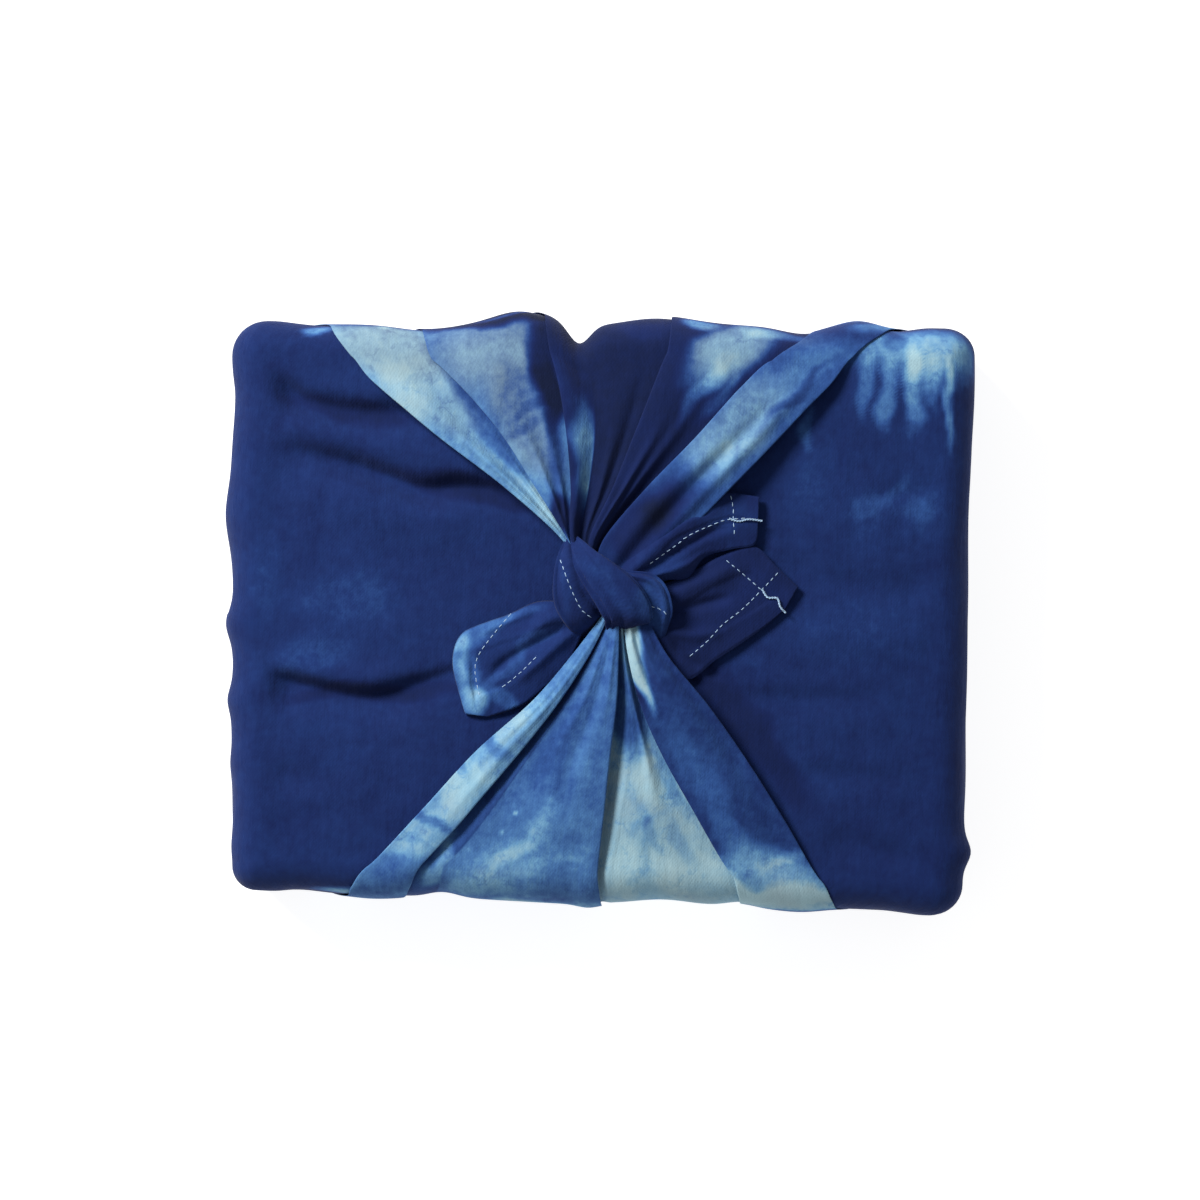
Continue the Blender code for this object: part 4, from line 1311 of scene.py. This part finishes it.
TAIL_FOLDS = {
    # name: rows of height, half width left and right, x and y of the points of the fold
    "left_tail": (
        (2.2, 3, 4, ((-12, 0), (-24, -2), (-35, -11))),
        (-2.6, 2, 2.5, ((-12, -5), (-28, -13), (-44, -22), (-52, -30))),
        (2, 2.5, 3.5, ((-12, -8), (-26, -20), (-40, -32))),
        (1.4, 2, 3, ((-30, 3), (-44, -3), (-56, -9))),
        (-1, 1.2, 1.6, ((-62, -17), (-60, -30), (-59, -44))),
    ),
    "upper_right_tail": (
        (2.4, 2.5, 4, ((14, 20), (28, 34), (44, 46), (58, 52))),
        (-2.4, 2, 2.5, ((16, 18), (34, 28), (50, 38), (62, 42))),
        (2, 2, 3, ((18, 15), (38, 22), (54, 30))),
        (-1, 1.5, 1.5, ((26, 44), (40, 47), (52, 48))),
    ),
    "lower_right_tail": (
        (2, 3, 4, ((30, 6), (46, 14), (64, 22))),
        (-2.2, 2.5, 2.5, ((30, 0), (46, 4), (62, 8))),
        (1.8, 2.5, 3, ((30, -8), (46, -10), (58, -8))),
        (-1.6, 2, 2, ((34, -14), (40, -20), (48, -26))),
    ),
}
TAIL_BASE_DYE = {"left_tail": 0.07, "upper_right_tail": 0.02, "lower_right_tail": -0.05}
TAIL_DYE = {
    "left_tail": (
        (0, -61, -42, 8, 6, -60, 0.6),
        (0, -67, -22, 14, 4.5, 90, 0.36),
        (0, -56, -8, 18, 5, 30, 0.27),
        (0, -62, -28, 9, 5, 80, 0.2),
        (0, -46, -42, 14, 5, -30, 0.2),
        (0, -48, -28, 14, 3, 35, 0.12),
        (0, -36, 0, 10, 3, 20, 0.12),
        (0, -32, -14, 14, 3, 30, 0.1),
    ),
    "upper_right_tail": (
        (0, 62, 46, 12, 8, 0, 0.08),
        (0, 46, 50, 14, 3, 30, 0.1),
        (0, 30, 22, 12, 4, 20, 0.08),
    ),
    "lower_right_tail": (
        (0, 70, 12, 16, 8, 40, 0.03),
        (0, 50, -10, 14, 5, 40, 0.02),
        (0, 86, 8, 6, 8, 0, 0.05),
    ),
}

FOLD_FREE_EDGE = 4.0  # mm; folds die away this near the edge
TAIL_CRINKLE = 0.35
EDGE_ROUND = 0.8  # mm


def make_tail(name):
    """A tail of cloth with its own thickness, from the knot to its corner."""
    rows = TAILS[name]
    spine = curve_at(rows, np.linspace(0, len(rows) - 1, TAIL_STEPS * (len(rows) - 1) + 1))
    share = np.linspace(0.0, 1.0, TAIL_COLUMNS)[None, :]
    x = mix(spine[:, 0:1], spine[:, 2:3], share)
    y = mix(spine[:, 1:2], spine[:, 3:4], share)
    width = np.hypot(spine[:, 2] - spine[:, 0], spine[:, 3] - spine[:, 1])[:, None]
    arch = (spine[:, 5:6] - 0.5 * (spine[:, 4:5] + spine[:, 6:7])) * np.sin(math.pi * share)
    z = TAIL_BASE + mix(spine[:, 4:5], spine[:, 6:7], share) + arch
    inner = np.minimum(share, 1.0 - share) * width
    z += crease_height(x, y, TAIL_FOLDS[name]) * ease(inner / FOLD_FREE_EDGE)
    z += TAIL_CRINKLE * swells(x, y, 9.0, len(name) + 60)
    hem = 1.0 - ease((inner - HEM_WIDTH + 0.5) / 1.0)
    z += HEM_RISE * hem
    thick = CLOTH_THICKNESS + HEM_RISE * hem
    edge = 1.0 - np.sqrt(np.clip(1.0 - (1.0 - np.clip(inner / EDGE_ROUND, 0.0, 1.0)) ** 2, 0.0, 1.0))
    top = np.stack([x, y, z - 0.5 * thick * edge], -1)
    under = np.stack([x, y, z - thick + 0.5 * thick * edge], -1)
    points = np.concatenate([top, under[:, ::-1]], axis=1)
    level = dye_and_shade_level(points[..., 0], points[..., 1], TAIL_BASE_DYE[name], TAIL_DYE[name])
    flat = points[..., :2]
    return cloth_from_grid(name, points, level, flat, round_rows=True, capped=True)


tails = {name: make_tail(name) for name in TAILS}

# %% [markdown]
# ## Stitches
# The hem is sewn by hand-guided machine with a pale blue polyester-cotton thread. From above each
# stitch is a short raised dash, a little sunk at both ends, with a gap of cloth before the next. A bump
# could draw them, but small tubes catch the light and cast the thin shadows of real thread.

# %% Sewing thread material
THREAD_TWIST = 0.449  # mm from ply to ply
BANDS_IN_A_WAVE = 20.0 / math.tau  # the wave pattern's own number of bands for each unit of scale


def make_sewing_thread():
    """Pale blue spun thread: matt, with its two plies faintly light and dark."""
    material, tree, shader = new_material("sewing_thread")
    space = add_node(tree, "ShaderNodeTexCoord").outputs["Object"]
    scale = 1.0 / (THREAD_TWIST * MM * BANDS_IN_A_WAVE)
    inputs = {"Vector": space, "Scale": scale, "Distortion": 2.0}
    twist = add_node(tree, "ShaderNodeTexWave", inputs).outputs["Fac"]
    inputs = {"Factor": twist, "A": linear("#8fb2d4"), "B": linear("#b7d0e6")}
    colour = add_node(tree, "ShaderNodeMix", inputs, data_type="RGBA").outputs["Result"]
    bump = add_node(tree, "ShaderNodeBump", {"Height": twist, "Strength": 0.4, "Distance": 0.0002})
    tree.links.new(colour, shader.inputs["Base Color"])
    tree.links.new(bump.outputs["Normal"], shader.inputs["Normal"])
    for name, value in (("Roughness", 0.7), ("IOR", 1.5), ("Sheen Weight", 0.15)):
        shader.inputs[name].default_value = value
    return material


sewing_thread = make_sewing_thread()
print("thread's wave scale:", round(1.0 / (THREAD_TWIST * MM * BANDS_IN_A_WAVE)))

# %% Stitch lines
STITCH_LENGTH = 2.3
STITCH_PITCH = 3.3
STITCH_WIDTH = 0.46
STITCH_LINES = (
    # piece, x and y of the points of the line
    ("left_tail", ((-43, -0.5), (-51, -10), (-57.5, -19), (-59.5, -26), (-58.5, -34), (-56.5, -43))),
    ("left_tail", ((-31, -21), (-37, -27), (-43.5, -32.5), (-50, -37))),
    ("upper_right_tail", ((62.5, 55.5), (63.5, 50), (63.5, 44), (64, 39.5), (63.5, 34))),
    ("upper_right_tail", ((24.5, 24.5), (36.5, 33), (42.5, 37.5), (53.5, 42.5), (61, 45), (74, 46))),
    ("lower_right_tail", ((61, 25), (69.5, 18), (77, 11.5), (83.5, 6))),
    ("lower_right_tail", ((86.5, 21.5), (79, 13.5), (68, 2.5), (58.5, -5), (50, -14), (39, -23))),
    ("knot_left_band", ((-18.5, 25), (-15, 15.5), (-12, 8.5), (-8, 1.5), (-1, -3.5))),
    ("knot_right_band", ((25, 3.5), (30, 1.5), (34, -3.5))),
)


def surface_under(piece):
    """A quick way to ask how high a piece stands at any place, in mm on the tables' x and y."""
    mesh = piece.data
    tree = BVHTree.FromPolygons(
        [vertex.co.copy() for vertex in mesh.vertices], [list(face.vertices) for face in mesh.polygons]
    )

    def height_at(x, y):
        start = Vector(((x - BASE_MIDDLE[0]) * MM, (y - BASE_MIDDLE[1]) * MM, 0.2))
        hit = tree.ray_cast(start, Vector((0.0, 0.0, -1.0)))[0]
        return None if hit is None else hit.z / MM

    return height_at


def evenly_along(points, pitch):
    """Points at an even pitch along a smooth line through these ones."""
    fine = curve_at(points, np.linspace(0, len(points) - 1, 40 * len(points)))
    run = np.concatenate([[0.0], np.cumsum(np.hypot(*np.diff(fine, axis=0).T))])
    wanted = np.arange(0.0, run[-1], pitch)
    return np.stack([np.interp(wanted, run, fine[:, axis]) for axis in range(2)], 1)

# %% Stitches
STITCH_SIDES = 6
STITCH_WANDER = 0.06  # radians
STITCH_SHORTEST, STITCH_LONGEST = 0.9, 1.08
STITCH_SECTIONS = (
    # share of the length from the middle, share of the width, lift in mm
    (-0.5, 0.15, -0.25),
    (-0.36, 0.8, 0.02),
    (0, 1, 0.12),
    (0.36, 0.8, 0.02),
    (0.5, 0.15, -0.25),
)


def stitch_points(x, y, heading, length, height_at):
    """Rings of one stitch, or nothing if it would hang over the cloth's edge."""
    points = []
    for share, size, lift in STITCH_SECTIONS:
        at_x = x + math.cos(heading) * length * share
        at_y = y + math.sin(heading) * length * share
        level = height_at(at_x, at_y)
        if level is None:
            return []
        for corner in range(STITCH_SIDES):
            turn = math.tau * corner / STITCH_SIDES
            side = 0.5 * STITCH_WIDTH * size * math.cos(turn)
            rise = 0.5 * STITCH_WIDTH * size * math.sin(turn) + lift
            points.append((at_x - math.sin(heading) * side, at_y + math.cos(heading) * side, level + rise))
    return points


def make_stitches():
    """All the stitches as one piece, each with a slightly different length and heading."""
    pieces = {piece.name: piece for piece in list(tails.values()) + knot_bands}
    chance = random.Random(8)
    points, faces = [], []
    for name, line in STITCH_LINES:
        height_at = surface_under(pieces[name])
        places = evenly_along(line, STITCH_PITCH)
        for (x, y), (next_x, next_y) in zip(places, places[1:]):
            heading = math.atan2(next_y - y, next_x - x) + chance.uniform(-STITCH_WANDER, STITCH_WANDER)
            length = STITCH_LENGTH * chance.uniform(STITCH_SHORTEST, STITCH_LONGEST)
            stitch = stitch_points(x, y, heading, length, height_at)
            if stitch:
                faces += tube_faces(len(points), len(STITCH_SECTIONS), STITCH_SIDES, clockwise=True)
                points += stitch
    print("stitches:", len(points) // (STITCH_SIDES * len(STITCH_SECTIONS)))
    return add_piece("hem_stitches", points, faces, sewing_thread)


hem_stitches = make_stitches()

# %% [markdown]
# ## Thread ends
# Where a stitch line stops at a corner, the two threads were left a centimetre or two long and have
# twisted together. Each is two plies wound round one another, which a curve with a round bevel
# couldn't show.

# %% Thread ends
PLY_RADIUS = 0.3
PLY_SIDES = 8
TWIST_PITCH = 2.6
THREAD_ENDS = {
    # name: piece it lies on, x, y and height over that piece of its points
    "thread_end_upper": (
        "upper_right_tail",
        ((61.5, 45.5, 0.3), (66, 44.3, 0.8), (71, 45.2, 1), (77.5, 44.4, 0.8)),
    ),
    "thread_end_lower": (
        "lower_right_tail",
        ((77.5, 11.5, 0.3), (80, 8, 0.9), (84.5, 7.5, 1.2), (86, 3.5, 1.2), (88.6, 0.6, 1)),
    ),
}
PLY_POINTS = 30  # between two points of a path
PLY_TAPER = 0.35  # size of the cut end


def height_along(middle, height_at):
    """Height of the piece below each point, or the last known one beyond its edge."""
    levels = [height_at(x, y) for x, y, _ in middle]
    known = next(level for level in levels if level is not None)
    found = []
    for level in levels:
        known = known if level is None else level
        found.append(known)
    return found


def make_thread_end(name):
    """Two plies wound round one line that lies on a tail."""
    under, path = THREAD_ENDS[name]
    middle = curve_at(path, np.linspace(0, len(path) - 1, PLY_POINTS * (len(path) - 1)))
    middle[:, 2] += height_along(middle, surface_under(tails[under]))
    across, up, run = directions_along(middle)
    points, faces = [], []
    for ply in range(2):
        wind = math.tau * run / TWIST_PITCH + math.pi * ply
        core = middle + 0.8 * PLY_RADIUS * (np.cos(wind)[:, None] * across + np.sin(wind)[:, None] * up)
        faces += tube_faces(len(points), len(core), PLY_SIDES)
        for index in range(len(core)):
            size = PLY_RADIUS * (PLY_TAPER if index in (0, len(core) - 1) else 1.0)
            for corner in range(PLY_SIDES):
                turn = math.tau * corner / PLY_SIDES
                offset = math.cos(turn) * across[index] + math.sin(turn) * up[index]
                points.append(core[index] + size * offset)
    print(f"{name}: {run[-1]:.1f} mm long")
    return add_piece(name, points, faces, sewing_thread)


thread_ends = [make_thread_end(name) for name in THREAD_ENDS]

# %% [markdown]
# ## Table and light
# A white table and soft light from the upper left, as in a small studio. A broad lamp gives the folds
# their shading, and an even white surround fills the shadows. A surround picture could light it too,
# but one lamp is simpler to place so that the shadows fall to the lower right.

# %% Table
TABLE_HALF = 4.0  # metres
TABLE_GLOW = 0.85  # lifts the white to an even backdrop


def make_table():
    """A flat white table with no gloss."""
    material, _, shader = new_material("white_table")
    shader.inputs["Base Color"].default_value = linear("#c8c8c8")
    shader.inputs["Roughness"].default_value = 0.9
    shader.inputs["Specular IOR Level"].default_value = 0.0
    shader.inputs["Emission Color"].default_value = linear("#ffffff")
    shader.inputs["Emission Strength"].default_value = TABLE_GLOW
    corners = [(-1, -1), (1, -1), (1, 1), (-1, 1)]
    mesh = bpy.data.meshes.new("white_table")
    mesh.from_pydata([(TABLE_HALF * x, TABLE_HALF * y, 0.0) for x, y in corners], [], [(0, 1, 2, 3)])
    mesh.materials.append(material)
    table = bpy.data.objects.new("white_table", mesh)
    bpy.context.scene.collection.objects.link(table)
    return table


make_table()
print("table, metres across:", 2.0 * TABLE_HALF)

# %% Light
LAMP_PLACE = (-1.35, 1.3, 1.55)
LAMP_SIZE = 0.8
LAMP_POWER = 78.0
SURROUND = 0.31

lamp_data = bpy.data.lights.new("studio_lamp", "AREA")
lamp_data.shape = "DISK"
lamp_data.size = LAMP_SIZE
lamp_data.energy = LAMP_POWER
lamp = bpy.data.objects.new("studio_lamp", lamp_data)
lamp.location = LAMP_PLACE
lamp.rotation_euler = (-Vector(LAMP_PLACE)).to_track_quat("-Z", "Y").to_euler()
bpy.context.scene.collection.objects.link(lamp)

world = bpy.data.worlds.new("studio_surround")
world.use_nodes = True
world.node_tree.nodes["Background"].inputs["Color"].default_value = (1.0, 1.0, 1.0, 1.0)
world.node_tree.nodes["Background"].inputs["Strength"].default_value = SURROUND
bpy.context.scene.world = world
bpy.context.scene.view_settings.view_transform = "Standard"
print("lamp, watts:", LAMP_POWER)

# %% [markdown]
# ## Tie everything to the frame
# Nothing moves on a wrapped parcel, so every piece rides on the one body. Each replaces the plain
# cloth of the CAD model.

# %% Ride and replace
cloth_pieces = [wrapped_body, upper_fan, lower_fan] + knot_bands + list(tails.values())
for piece in cloth_pieces + [hem_stitches] + thread_ends:
    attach(piece, "root")
    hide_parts("furoshiki_cloth")
